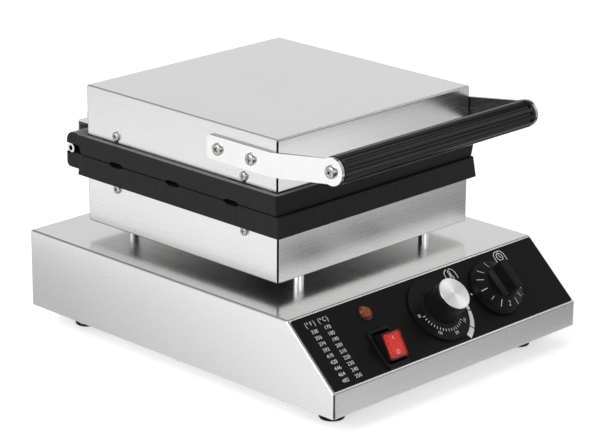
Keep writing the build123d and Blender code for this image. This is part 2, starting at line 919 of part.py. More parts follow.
def make_arm(side):
    """One flat arm, level along the lid and rising to a round end at the grip."""
    end_y = base_y + arm_front
    end_z = arm_z + arm_lift
    bend_y = base_y + arm_bend
    rear_y = base_y + arm_rear
    half = arm_height / 2
    rise = math.atan2(arm_lift, bend_y - end_y)
    shift_y = half * math.sin(rise)
    shift_z = half * math.cos(rise)
    knee = half * math.tan(rise / 2)
    outline = Plane.YZ * Polyline(
        (rear_y, arm_z - half),
        (rear_y, arm_z + half),
        (bend_y + knee, arm_z + half),
        (end_y + shift_y, end_z + shift_z),
        (end_y - shift_y, end_z - shift_z),
        (bend_y - knee, arm_z - half),
        close=True,
    )
    strip = extrude(make_face(outline), amount=arm_thickness)
    disc = bar(arm_end_radius, 0, arm_thickness, end_y, end_z)
    strip = fillet(
        strip.edges().filter_by(Axis.X).sort_by(Axis.Y)[-2:],
        radius=arm_corner,
    )
    shape = strip + disc
    for y in arm_screw_rows():
        shape -= bar(arm_screw_radius + hole_clearance, 0, arm_thickness, y, arm_z)
    shape -= bar(grip_screw_radius + hole_clearance, 0, arm_thickness, end_y, end_z)
    start = lid_side if side > 0 else -lid_side - arm_thickness
    return Pos(start, 0, 0) * shape


def make_arm_screws():
    """Pan-head screws that fix the arms to the lid."""
    screws = []
    for y in arm_screw_rows():
        for sign in (-1, 1):
            face = sign * (lid_side + arm_thickness)
            head = bar(arm_screw_head, face, face + sign * arm_screw_head_height, y, arm_z)
            shank = bar(arm_screw_radius, face, face - sign * arm_screw_length, y, arm_z)
            screws.append(fillet_head(head, sign) + shank)
    return solids_of(screws)


def fillet_head(head, sign):
    """A pan head's rounded outer rim."""
    rims = head.edges().filter_by(GeomType.CIRCLE).sort_by(Axis.X)
    return fillet(rims[-1] if sign > 0 else rims[0], radius=1.4)


def make_arm_nuts():
    """Nuts inside the lid's side walls."""
    nuts = []
    for y in arm_screw_rows():
        for sign in (-1, 1):
            inner = sign * (lid_side - sheet)
            start = inner if sign < 0 else inner - arm_nut_height
            nut = Pos(start, y, arm_z) * Rot(0, 90, 0) * hexagon(arm_nut_flats, arm_nut_height)
            nuts.append(nut - bar(arm_screw_radius, start, start + arm_nut_height, y, arm_z))
    return solids_of(nuts)


def grip_place():
    """The grip's axis, across the machine."""
    return base_y + arm_front, arm_z + arm_lift


def make_handle_grip():
    """The fluted grip, smooth at both ends."""
    y, z = grip_place()
    half = lid_side - grip_end_gap
    shape = bar(grip_radius, -half, half, y, z)
    rims = shape.edges().filter_by(GeomType.CIRCLE)
    shape = fillet(rims, radius=1.0)
    fluted = half - grip_end_ring
    for index in range(grip_flutes):
        angle = 2 * math.pi * (index + 0.5) / grip_flutes
        reach = grip_radius + grip_flute_radius - grip_flute_depth
        flute_y = y + reach * math.cos(angle)
        flute_z = z + reach * math.sin(angle)
        shape -= bar(grip_flute_radius, -fluted, fluted, flute_y, flute_z)
    return shape - bar(rod_radius + hole_clearance, -half, half, y, z)


def make_grip_rod():
    """The rod through the grip, tapped at both ends."""
    y, z = grip_place()
    shape = bar(rod_radius, -lid_side, lid_side, y, z)
    for sign in (-1, 1):
        shape -= bar(grip_screw_radius, sign * lid_side, sign * (lid_side - grip_screw_depth), y, z)
    return shape


def make_grip_screws():
    """Pan-head screws through the arms into the rod."""
    y, z = grip_place()
    screws = []
    for sign in (-1, 1):
        face = sign * (lid_side + arm_thickness)
        head = bar(grip_screw_head, face, face + sign * grip_screw_head_height, y, z)
        shank = bar(grip_screw_radius, face, sign * (lid_side - grip_screw_depth), y, z)
        screws.append(fillet_head(head, sign) + shank)
    return solids_of(screws)


def make_control_body(x, size, depth):
    """A control behind the panel, with its bush and nut through the panel."""
    shape = Pos(0, 0, -sheet) * Box(size, size, depth, align=DOWNWARD)
    shape = fillet(shape.edges().filter_by(Axis.Z), radius=3 * sheet)
    shape += Pos(0, 0, -sheet) * Cylinder(bush_radius, sheet + bush_top, align=UPWARD)
    shape += Pos(0, 0, panel_thickness) * hexagon(bush_nut_flats, bush_nut_height)
    shape -= Pos(0, 0, -spindle_depth) * Cylinder(
        spindle_radius + running_clearance, spindle_depth + bush_top, align=UPWARD
    )
    return on_panel(x, dial_up) * shape


def make_spindle(x, top):
    """A control's spindle, from its body up into the knob."""
    shape = Pos(0, 0, -spindle_depth) * Cylinder(spindle_radius, spindle_depth + top, align=UPWARD)
    return on_panel(x, dial_up) * shape


def knob_recess():
    """The hollow under a knob, over the bush and its nut."""
    return Cylinder(knob_recess_radius, knob_recess_top, align=UPWARD)


def make_thermostat_knob():
    """The dial, its hub and the hollow under it."""
    low = panel_thickness + knob_lift
    shape = turned(
        [
            (0, low),
            (dial_radius, low),
            (dial_radius, low + dial_rim),
            (dial_radius - 1.5 * dial_rim, dial_rise),
            (dial_hub_foot, dial_rise + sheet),
            (dial_hub_radius, dial_rise + 3 * sheet),
            (cap_radius + cap_chamfer, dial_hub_top),
            (0, dial_hub_top),
        ]
    )
    shape -= knob_recess()
    bore = Pos(0, 0, knob_recess_top) * Cylinder(spindle_radius, spindle_in_knob, align=UPWARD)
    return on_panel(dial_x, dial_up) * (shape - bore)


def make_thermostat_cap():
    """The spun cap on the dial's hub."""
    shape = turned(
        [
            (0, dial_hub_top),
            (cap_radius, dial_hub_top),
            (cap_radius, cap_top - cap_chamfer),
            (cap_radius - cap_chamfer, cap_top),
            (0, cap_top),
        ]
    )
    return on_panel(dial_x, dial_up) * shape


def make_timer_knob():
    """The stepped skirt and the bar that the fingers turn."""
    low = panel_thickness + knob_lift
    shape = turned(
        [
            (0, low),
            (timer_radius, low),
            (timer_radius, low + timer_rim),
            (timer_shoulder_radius, timer_shoulder),
            (timer_neck_radius, timer_neck),
            (0, timer_neck),
        ]
    )
    section = Plane.XZ * Polyline(
        (-timer_bar_foot / 2, timer_neck - sheet),
        (timer_bar_foot / 2, timer_neck - sheet),
        (timer_bar_waist / 2, timer_bar_flare),
        (timer_bar_width / 2, timer_bar_top),
        (-timer_bar_width / 2, timer_bar_top),
        (-timer_bar_waist / 2, timer_bar_flare),
        close=True,
    )
    grip = extrude(make_face(section), amount=timer_neck_radius, both=True)
    grip = grip & Cylinder(timer_neck_radius, timer_bar_top, align=UPWARD)
    grip = fillet(grip.faces().sort_by(Axis.Z)[-1].edges(), radius=sheet)
    shape += grip
    shape -= knob_recess()
    bore = Pos(0, 0, knob_recess_top) * Cylinder(spindle_radius, spindle_in_knob, align=UPWARD)
    return on_panel(timer_x, dial_up) * (shape - bore)


def make_switch_housing():
    """The switch's bezel and body, with the well in which the rocker tilts."""
    flange = Pos(0, 0, panel_thickness) * extrude(
        RectangleRounded(bezel_width, bezel_length, bezel_corner), amount=bezel_height
    )
    flange = fillet(flange.faces().sort_by(Axis.Z)[-1].edges(), radius=sheet)
    top = panel_thickness + bezel_height
    body = Pos(0, 0, panel_thickness) * Box(
        switch_body_width, switch_body_length, switch_body_depth, align=DOWNWARD
    )
    shape = flange + body
    shape -= Pos(0, 0, top) * Box(well_width, well_length, top + well_depth, align=DOWNWARD)
    reach = rocker_width / 2 + rocker_pivot_length + hole_clearance
    shape -= bar(rocker_pivot_radius + running_clearance, -reach, reach, 0, rocker_axis_up)
    return on_panel(switch_x, switch_up) * shape


def rocker_place():
    """The rocker's own frame at its pivot, leaning as it does at rest."""
    return on_panel(switch_x, switch_up, rocker_axis_up) * Rot(rocker_lean, 0, 0)


def make_switch_rocker():
    """The black rocker with its two pivots."""
    profile = Plane.YZ * Polyline(
        (-rocker_foot / 2, -rocker_below),
        (rocker_foot / 2, -rocker_below),
        (rocker_top / 2, rocker_above),
        (-rocker_top / 2, rocker_above),
        close=True,
    )
    shape = extrude(make_face(profile), amount=rocker_width / 2, both=True)
    reach = rocker_width / 2 + rocker_pivot_length
    shape += bar(rocker_pivot_radius, -reach, reach, 0, 0)
    return rocker_place() * shape


def make_switch_lens():
    """The red lens on top of the rocker."""
    outline = RectangleRounded(rocker_width - 2 * lens_inset, rocker_top - 2 * lens_inset, 2 * sheet)
    return rocker_place() * Pos(0, 0, rocker_above) * extrude(outline, amount=lens_height)


def make_switch_boot():
    """The clear cover over the lens."""
    outer = extrude(RectangleRounded(rocker_width, rocker_top, 3 * sheet), amount=boot_height)
    outer = fillet(outer.faces().sort_by(Axis.Z)[-1].edges(), radius=sheet)
    inset = lens_inset - boot_clearance
    inner = RectangleRounded(rocker_width - 2 * inset, rocker_top - 2 * inset, 2 * sheet)
    outer -= extrude(inner, amount=lens_height + boot_clearance)
    return rocker_place() * Pos(0, 0, rocker_above) * outer


def make_indicator_lamp():
    """The lamp's body, ring and nut."""
    shape = Pos(0, 0, panel_thickness) * Cylinder(lamp_ring_radius, lamp_ring_height, align=UPWARD)
    shape += Pos(0, 0, panel_thickness) * Cylinder(lamp_body_radius, lamp_body_depth, align=DOWNWARD)
    shape += Pos(0, 0, -sheet - lamp_nut_height) * hexagon(lamp_nut_flats, lamp_nut_height)
    return on_panel(lamp_x, lamp_up) * shape


def make_indicator_lens():
    """A faceted lens."""
    low = panel_thickness + lamp_ring_height
    skirt = Pos(0, 0, low) * extrude(RegularPolygon(lamp_radius, lamp_facets), amount=sheet)
    crown = Pos(0, 0, low + sheet) * extrude(
        RegularPolygon(lamp_radius, lamp_facets), amount=lamp_lens_top - low - sheet, taper=40
    )
    return on_panel(lamp_x, lamp_up) * (skirt + crown)


def make_cord_gland():
    """The cable entry: a lock nut inside, a hexagon and a tapered nut outside, and its bore."""
    shape = hexagon(gland_flats, gland_flats_length)
    shape += Pos(0, 0, gland_flats_length) * Cone(
        gland_nut_radius, gland_mouth_radius, gland_length - gland_flats_length, align=UPWARD
    )
    shape += Cylinder(gland_thread_radius, gland_inside, align=DOWNWARD)
    shape += Pos(0, 0, -sheet - gland_lock_height) * hexagon(gland_lock_flats, gland_lock_height)
    shape -= Cylinder(gland_bore_radius, 4 * gland_length)
    return gland_place() * shape


def make_terminal_block():
    """The mains terminal block on the bottom cover, with its wire ways."""
    y = base_y + terminal_y
    shape = Pos(gland_x, y, base_z) * Box(terminal_length, terminal_width, terminal_height, align=UPWARD)
    shape = fillet(shape.edges().filter_by(Axis.Z), radius=2 * sheet)
    for index in range(terminal_poles):
        x = gland_x + (index - (terminal_poles - 1) / 2) * terminal_length / terminal_poles
        way = Pos(x, y, base_z + terminal_height / 2) * Rot(90, 0, 0)
        shape -= way * Cylinder(terminal_pole_radius, 2 * terminal_width)
    return shape


lower_bar_z = lower_plate_z + heater_pocket_depth - 2 * heater_radius - clamp_thickness
upper_bar_z = upper_plate_z - heater_pocket_depth + 2 * heater_radius
lower_heater_z = lower_plate_z + heater_pocket_depth - heater_radius
upper_heater_z = upper_plate_z - heater_pocket_depth + heater_radius
spindle_top = knob_recess_top + spindle_in_knob

nodes = {
    "base_housing": make_base_housing,
    "base_floor": make_base_floor,
    "floor_screws": make_floor_screws,
    "rubber_feet": make_rubber_feet,
    "foot_screws": make_foot_screws,
    "control_panel": make_control_panel,
    "support_posts": make_support_posts,
    "post_bolts": make_post_bolts,
    "post_nuts": make_post_nuts,
    "wire_tube": make_wire_tube,
    "lower_housing": make_lower_housing,
    "lower_plate": make_lower_plate,
    "lower_heater": lambda: make_heater(lower_heater_z),
    "lower_clamps": lambda: make_clamps(lower_bar_z),
    "lower_clamp_screws": lambda: make_clamp_screws(lower_bar_z, 1),
    "lower_insulation": make_lower_insulation,
    "lower_housing_screws": lambda: make_housing_screws(lower_side, lower_plate_z - lower_screw_drop),
    "hinge_pins": make_hinge_pins,
    "thermostat_body": lambda: make_control_body(dial_x, thermostat_size, thermostat_depth),
    "thermostat_bulb": make_thermostat_bulb,
    "timer_body": lambda: make_control_body(timer_x, timer_size, timer_depth),
    "switch_housing": make_switch_housing,
    "indicator_lamp": make_indicator_lamp,
    "indicator_lens": make_indicator_lens,
    "terminal_block": make_terminal_block,
    "cord_gland": make_cord_gland,
    "upper_plate": make_upper_plate,
    "upper_heater": lambda: make_heater(upper_heater_z),
    "upper_clamps": lambda: make_clamps(upper_bar_z),
    "upper_clamp_screws": lambda: make_clamp_screws(upper_bar_z + clamp_thickness, -1),
    "upper_insulation": make_upper_insulation,
    "lid_housing": make_lid_housing,
    "lid_housing_screws": lambda: make_housing_screws(lid_side, upper_plate_z + lid_screw_rise),
    "rear_wire_cover": make_rear_wire_cover,
    "rear_cover_screws": make_rear_cover_screws,
    "left_arm": lambda: make_arm(-1),
    "right_arm": lambda: make_arm(1),
    "arm_screws": make_arm_screws,
    "arm_nuts": make_arm_nuts,
    "handle_grip": make_handle_grip,
    "grip_rod": make_grip_rod,
    "grip_screws": make_grip_screws,
    "thermostat_knob": make_thermostat_knob,
    "thermostat_cap": make_thermostat_cap,
    "thermostat_spindle": lambda: make_spindle(dial_x, spindle_top),
    "timer_knob": make_timer_knob,
    "timer_spindle": lambda: make_spindle(timer_x, spindle_top),
    "switch_rocker": make_switch_rocker,
    "switch_lens": make_switch_lens,
    "switch_boot": make_switch_boot,
}

if __name__ == "__main__":
    os.makedirs("parts", exist_ok=True)
    for name, make in nodes.items():
        export_step(make(), f"parts/{name}.step")
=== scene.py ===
import math

import bmesh
import bpy
from bpy.props import FloatProperty, FloatVectorProperty, PointerProperty, StringProperty
from mathutils import Matrix, Vector


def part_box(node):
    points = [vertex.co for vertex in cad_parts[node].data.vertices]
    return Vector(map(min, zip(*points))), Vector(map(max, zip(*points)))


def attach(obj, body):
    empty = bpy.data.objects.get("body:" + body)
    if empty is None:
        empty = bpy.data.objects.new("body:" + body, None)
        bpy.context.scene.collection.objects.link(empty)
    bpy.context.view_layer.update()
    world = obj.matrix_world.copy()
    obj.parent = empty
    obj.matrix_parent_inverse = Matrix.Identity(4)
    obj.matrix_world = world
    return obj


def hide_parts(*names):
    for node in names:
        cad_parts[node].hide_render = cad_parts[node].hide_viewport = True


bl_info = {
    "name": "Waffle Maker Dresser",
    "version": (1, 0, 0),
    "blender": (4, 5, 0),
    "location": "View3D > Sidebar > Waffle Maker",
    "description": "Finishes, printed marks, screws and studio for a countertop waffle maker",
    "category": "Object",
}

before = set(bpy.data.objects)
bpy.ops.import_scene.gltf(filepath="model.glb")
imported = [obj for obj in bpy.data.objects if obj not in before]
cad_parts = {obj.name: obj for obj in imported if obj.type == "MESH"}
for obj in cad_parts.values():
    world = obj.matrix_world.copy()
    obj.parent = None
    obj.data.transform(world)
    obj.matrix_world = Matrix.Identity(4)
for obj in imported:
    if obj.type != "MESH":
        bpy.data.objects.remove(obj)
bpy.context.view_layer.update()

MM = 0.001
BASE_LOW, BASE_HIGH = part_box("base_housing")
LIP_HEIGHT = 22.6 * MM
SLOPE_RUN = 54.9 * MM
SLOPE_RISE = BASE_HIGH.z - BASE_LOW.z - LIP_HEIGHT
SLOPE_LENGTH = math.hypot(SLOPE_RUN, SLOPE_RISE)
UP_SLOPE = Vector((0, SLOPE_RUN, SLOPE_RISE)) / SLOPE_LENGTH
OFF_PANEL = Vector((0, -SLOPE_RISE, SLOPE_RUN)) / SLOPE_LENGTH
PANEL_FOOT = Vector((0, BASE_LOW.y, BASE_LOW.z + LIP_HEIGHT))
OVERLAY_FACE = 0.8 * MM
DIAL_UP = SLOPE_LENGTH / 2
TIMER_X = 76 * MM


def colour_setting(name, description, default):
    """A colour among the settings."""
    return FloatVectorProperty(name=name, description=description, subtype="COLOR", default=default)


def amount_setting(name, description, default, low=0, **options):
    """A number with a lower limit among the settings."""
    return FloatProperty(name=name, description=description, default=default, min=low, **options)


def angle_setting(name, description, degrees):
    """An angle among the settings."""
    turn = math.radians(degrees)
    return FloatProperty(name=name, description=description, subtype="ANGLE", default=turn)


def length_setting(name, description, millimetres):
    """A length among the settings."""
    length = millimetres * MM
    return FloatProperty(name=name, description=description, unit="LENGTH", default=length)


class CameraSettings(bpy.types.PropertyGroup):
    """Where the photograph was taken from."""

    offset: FloatVectorProperty(
        name="Camera place",
        description="Camera place from the middle of the base's bottom edge",
        subtype="XYZ",
        unit="LENGTH",
        default=(-1.5664, -1.5256, 0.8255),
    )
    azimuth: angle_setting("Azimuth", "Turn of the camera about the vertical", -45.725)
    elevation: angle_setting("Elevation", "Height of the camera above the horizon", 18.636)
    roll: angle_setting("Roll", "Turn of the picture about the line of sight", 0.437)
    lens: amount_setting("Lens", "Focal length for a sensor 36 mm wide", 153.466, 10)


class StudioSettings(bpy.types.PropertyGroup):
    """Lamps, floor and surroundings."""

    key_power: amount_setting("Key lamp", "Power of the large lamp on the left", 17, unit="POWER")
    top_power: amount_setting("Top lamp", "Power of the large lamp above", 9, unit="POWER")
    front_power: amount_setting("Front lamp", "Power of the lamp at the front", 4, unit="POWER")
    surround: amount_setting("Surround", "Strength of the light from all around", 0.42)
    floor_colour: colour_setting("Floor", "Colour of the floor", (0.9, 0.9, 0.9))
    horizon: amount_setting("Horizon", "Tone of the pale surroundings in polished faces", 0.84)
    ceiling: amount_setting("Ceiling", "Tone of the dim ceiling in polished faces", 0.2)
    lip_card: amount_setting("Lip card", "Tone of the card that the base's lip reflects", 0.65)
    box_card: amount_setting("Box card", "Tone of the card that the box's front reflects", 0.26)
    lid_card: amount_setting("Lid card", "Tone of the card that the lid's front reflects", 1.25)
    left_card: amount_setting("Left card", "Tone of the card that the left walls reflect", 1.15)
    corner_card: amount_setting("Corner card", "Tone of the card that the corner reflects", 0.02)
    strip_card: amount_setting("Strip card", "Tone of the strip that the dial's cap reflects", 1.3)


class SteelSettings(bpy.types.PropertyGroup):
    """Brushed sheet and plain steel."""

    colour: colour_setting("Sheet", "Colour of the stainless sheet", (0.78, 0.78, 0.775))
    roughness: amount_setting("Roughness", "Roughness of the brushed sheet", 0.22, max=1)
    grain: amount_setting("Grain", "Brush marks in each metre, across the grain", 3200, 1)
    post_colour: colour_setting("Posts", "Colour of the polished posts", (0.78, 0.78, 0.8))
    bolt_colour: colour_setting("Screws", "Colour of the screws", (0.5, 0.5, 0.49))


class CastingSettings(bpy.types.PropertyGroup):
    """The coated plates."""

    colour: colour_setting("Coating", "Colour of the black coating", (0.008, 0.008, 0.0085))
    grain: amount_setting("Grain", "Bumps of the cast skin in each metre", 1400, 1)
    relief: amount_setting("Relief", "Strength of the cast skin's relief", 0.35)


class PlasticSettings(bpy.types.PropertyGroup):
    """Knobs, grip, feet, lamp and switch."""

    black: colour_setting("Black", "Colour of the black mouldings", (0.008, 0.008, 0.008))
    overlay: colour_setting("Overlay", "Colour of the panel's film", (0.007, 0.007, 0.0075))
    rubber: colour_setting("Rubber", "Colour of the feet", (0.012, 0.012, 0.012))
    red: colour_setting("Red", "Colour of the rocker's lens", (0.9, 0.035, 0.03))
    amber: colour_setting("Amber", "Colour of the lamp's lens", (0.28, 0.055, 0.004))


class PrintSettings(bpy.types.PropertyGroup):
    """White marks on the panel and the knobs."""

    colour: colour_setting("Ink", "Colour of the marks", (0.93, 0.93, 0.93))
    lift: length_setting("Lift", "Height of the ink above its surface", 0.08)
    row_pitch: length_setting("Row pitch", "Step between rows of the table", 6.1)
    number_size: length_setting("Number size", "Size of the table's numbers", 4.9)
    left_column: StringProperty(
        name="Left column",
        description="Temperatures in degrees Fahrenheit",
        default="338 356 374 392 410 428 446 464 482",
    )
    right_column: StringProperty(
        name="Right column",
        description="Temperatures in degrees Celsius",
        default="170 180 190 200 210 220 230 240 250",
    )


def on_panel(x, up, off=0.0):
    """A place from the middle of the panel's foot, up the slope and off its face."""
    return PANEL_FOOT + Vector((x, 0, 0)) + UP_SLOPE * up + OFF_PANEL * off


def panel_matrix(x, up, off=0.0, turn=0.0, lean=0.0):
    """The frame of a control on the panel: X to the right, Y up the slope, Z off the face."""
    axes = Matrix((Vector((1, 0, 0)), UP_SLOPE, OFF_PANEL)).transposed().to_4x4()
    spin = Matrix.Rotation(lean, 4, "X") @ Matrix.Rotation(turn, 4, "Z")
    return Matrix.Translation(on_panel(x, up, off)) @ axes @ spin


def add_piece(name, mesh, body, material, matrix=None):
    """Links a mesh, gives it its material and lets it ride on its body."""
    piece = bpy.data.objects.new(name, mesh)
    bpy.context.scene.collection.objects.link(piece)
    if matrix is not None:
        piece.matrix_world = matrix
    piece.data.materials.clear()
    piece.data.materials.append(material)
    bpy.context.view_layer.update()
    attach(piece, body)
    return piece


def paint(material, *nodes):
    """Gives CAD nodes a material."""
    for name in nodes:
        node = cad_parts[name]
        node.data.materials.clear()
        node.data.materials.append(material)


def mesh_from(build, name):
    """A mesh made by a function that fills a bmesh."""
    shape = bmesh.new()
    build(shape)
    mesh = bpy.data.meshes.new(name)
    shape.to_mesh(mesh)
    shape.free()
    return mesh


def smooth_by_angle(mesh, degrees=35):
    """Smooth shading that keeps edges sharper than the angle."""
    mesh.shade_smooth()
    mesh.set_sharp_from_angle(angle=math.radians(degrees))


class Nodes:
    """A node tree with short ways to add to it."""

    def __init__(self, tree):
        self.tree = tree

    def node(self, kind, **values):
        """Adds a node and sets its fields and sockets."""
        made = self.tree.nodes.new(kind)
        for key, value in values.items():
            if hasattr(made, key):
                setattr(made, key, value)
            else:
                made.inputs[key.replace("_", " ")].default_value = value
        return made

    def link(self, source, target):
        """Joins two sockets."""
        self.tree.links.new(source, target)

    def feed(self, values, sockets):
        """Links sockets to others or sets their values."""
        for value, socket in zip(values, sockets):
            if isinstance(value, bpy.types.NodeSocket):
                self.link(value, socket)
            else:
                socket.default_value = value

    def maths(self, operation, *values, clamp=False):
        """A Math node on sockets or numbers."""
        made = self.node("ShaderNodeMath", operation=operation, use_clamp=clamp)
        self.feed(values, made.inputs)
        return made.outputs[0]

    def vectors(self, operation, *values):
        """A Vector Math node on sockets or vectors."""
        made = self.node("ShaderNodeVectorMath", operation=operation)
        self.feed(values, made.inputs)
        number = operation in ("LENGTH", "DOT_PRODUCT")
        return made.outputs["Value" if number else "Vector"]

    def mix(self, kind, factor, first, second):
        """A Mix node between two sockets or values."""
        made = self.node("ShaderNodeMix", data_type=kind)
        self.feed((factor, first, second), [made.inputs[name] for name in ("Factor", "A", "B")])
        return made.outputs["Result"]

    def parts(self, vector):
        """The X, Y and Z sockets of a vector."""
        made = self.node("ShaderNodeSeparateXYZ")
        self.link(vector, made.inputs["Vector"])
        return made.outputs

    def spread(self, factor, low, high, start=0.3, end=0.7):
        """Maps a factor from a range onto another."""
        limits = {"From_Min": start, "From_Max": end, "To_Min": low, "To_Max": high}
        made = self.node("ShaderNodeMapRange", **limits)
        self.link(factor, made.inputs["Value"])
        return made.outputs["Result"]

    def in_sight(self, *rays):
        """A factor of 1 for the rays named and 0 for other light."""
        path = self.node("ShaderNodeLightPath")
        factor = path.outputs[rays[0]]
        for name in rays[1:]:
            factor = self.maths("MAXIMUM", factor, path.outputs[name])
        return factor


class Shader(Nodes):
    """A material's nodes round its surface shader."""

    def __init__(self, name, colour, metallic=0.0, roughness=0.5, **sockets):
        self.material = bpy.data.materials.new(name)
        self.material.use_nodes = True
        super().__init__(self.material.node_tree)
        self.surface = self.tree.nodes["Principled BSDF"]
        self.place = self.node("ShaderNodeTexCoord")
        self.surface.inputs["Base Color"].default_value = (*colour, 1)
        self.surface.inputs["Metallic"].default_value = metallic
        self.surface.inputs["Roughness"].default_value = roughness
        for socket, value in sockets.items():
            self.surface.inputs[socket.replace("_", " ")].default_value = value

    def drive(self, socket, source):
        """Links one of the surface's sockets to another."""
        self.link(source, self.surface.inputs[socket])

    def coordinates(self, *scale):
        """Object coordinates, stretched by one scale or by one for each axis."""
        mapping = self.node("ShaderNodeMapping", Scale=scale if len(scale) == 3 else scale * 3)
        self.link(self.place.outputs["Object"], mapping.inputs["Vector"])
        return mapping.outputs["Vector"]

    def axes(self, output):
        """The X, Y and Z sockets of the object's own coordinates or normal."""
        return self.parts(self.place.outputs[output])

    def noise(self, vector, detail=2.0, roughness=0.5):
        """A noise texture's factor on the vector given."""
        made = self.node("ShaderNodeTexNoise", Scale=1.0, Detail=detail, Roughness=roughness)
        self.link(vector, made.inputs["Vector"])
        return made.outputs["Fac"]

    def tint(self, factor, dark, light):
        """Mixes two colours into the base colour."""
        self.drive("Base Color", self.mix("RGBA", factor, (*dark, 1), (*light, 1)))

    def cover(self, factor, colour):
        """Puts another colour over the base colour where the factor is 1."""
        under = self.surface.inputs["Base Color"].links[0].from_socket
        self.drive("Base Color", self.mix("RGBA", factor, under, (*colour, 1)))

    def relief(self, height, strength, distance):
        """Bumps the surface by a height."""
        made = self.node("ShaderNodeBump", Strength=strength, Distance=distance)
        self.link(height, made.inputs["Height"])
        self.drive("Normal", made.outputs["Normal"])


def scaled(colour, factor):
    """A colour made darker or lighter."""
    return tuple(min(1.0, channel * factor) for channel in colour)


def grey(tone):
    """A grey of one tone."""
    return (tone, tone, tone)


def brushed_steel(name, colour, roughness, grain):
    """Sheet with fine straight brush marks, level on walls and fore and aft on tops.

    The open seams at the upright corners are dark, and the bends carry a painted dark reflection at
    half the sheet's brightness.
    """
    along, cloud_scale = 4, 9
    shader = Shader(name, colour, metallic=1.0, roughness=roughness)
    normal = shader.axes("Normal")
    fore_and_aft = shader.maths("ABSOLUTE", normal["Y"])
    wall = shader.coordinates(grain, along, grain)
    front = shader.coordinates(along, along, grain)
    facing = shader.maths("GREATER_THAN", fore_and_aft, 0.85)
    marks = shader.noise(shader.mix("VECTOR", facing, wall, front), detail=3, roughness=0.6)

    level = shader.maths("GREATER_THAN", normal["Z"], 0.95)
    even = shader.spread(level, roughness + 0.045, roughness - 0.03, 0, 1)
    shader.drive("Roughness", shader.maths("ADD", even, shader.spread(marks, -0.02, 0.02)))

    clouds = shader.spread(shader.noise(shader.coordinates(cloud_scale), detail=3), 0, 0.45)
    blend = shader.maths("MULTIPLY_ADD", marks, 0.55, clouds)
    shader.tint(blend, scaled(colour, 0.97), scaled(colour, 1.03))

    turned = shader.maths("ABSOLUTE", shader.maths("MULTIPLY", normal["X"], normal["Y"]))
    above = shader.maths("GREATER_THAN", shader.axes("Object")["Z"], BASE_HIGH.z + 1 * MM)
    seam = shader.maths("MULTIPLY", shader.maths("GREATER_THAN", turned, 0.16), above)
    shader.cover(seam, grey(0.02))
    # Painted reflection: the top and lower bends are covered at half the sheet's brightness,
    # standing in for a dark reflection.
    bend_painted_reflection = scaled(colour, 0.5)
    shader.cover(shader.maths("COMPARE", normal["Z"], 0.94, 0.05), bend_painted_reflection)
    fore = shader.maths("GREATER_THAN", fore_and_aft, 0.6)
    lower_bend = shader.maths("COMPARE", normal["Z"], 0.4, 0.25)
    shader.cover(shader.maths("MULTIPLY", fore, lower_bend), bend_painted_reflection)
    shader.relief(marks, 0.012, 0.03 * MM)
    return shader.material


def metal_shader(name, colour, roughness):
    """The shader of turned or drawn metal with a faint unevenness."""
    shader = Shader(name, colour, metallic=1.0, roughness=roughness)
    cloud = shader.noise(shader.coordinates(60), detail=4)
    shader.drive("Roughness", shader.spread(cloud, roughness * 0.8, roughness * 1.25))
    shader.tint(cloud, scaled(colour, 0.9), scaled(colour, 1.06))
    return shader


def plain_metal(name, colour, roughness):
    """Turned or drawn metal."""
    return metal_shader(name, colour, roughness).material


def handle_steel_painted_shade(name, colour, roughness):
    """Polished flat bar with painted shade on its edges and on the faces that look at each other.
    """
    outward_reach = 50 * MM
    shader = metal_shader(name, colour, roughness)
    outward = shader.maths("MULTIPLY", shader.axes("Object")["X"], shader.axes("Normal")["X"])
    # Painted shade: the edges and the inner faces are covered with a darker grey.
    shader.cover(shader.maths("LESS_THAN", outward, outward_reach), grey(0.42))
    return shader.material


def socket_steel_painted_shade(name, colour, roughness):
    """Polished pins with painted shade inside their sockets."""
    socket_radius = 2.4 * MM
    shader = metal_shader(name, colour, roughness)
    low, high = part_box("hinge_pins")
    shift = shader.vectors("SUBTRACT", shader.place.outputs["Object"], (low + high) / 2)
    reach = shader.vectors("LENGTH", shader.vectors("MULTIPLY", shift, (0, 1, 1)))
    # Painted shade inside the sockets: a near-black disc round the pins' axis.
    shader.cover(shader.maths("LESS_THAN", reach, socket_radius), grey(0.02))
    return shader.material


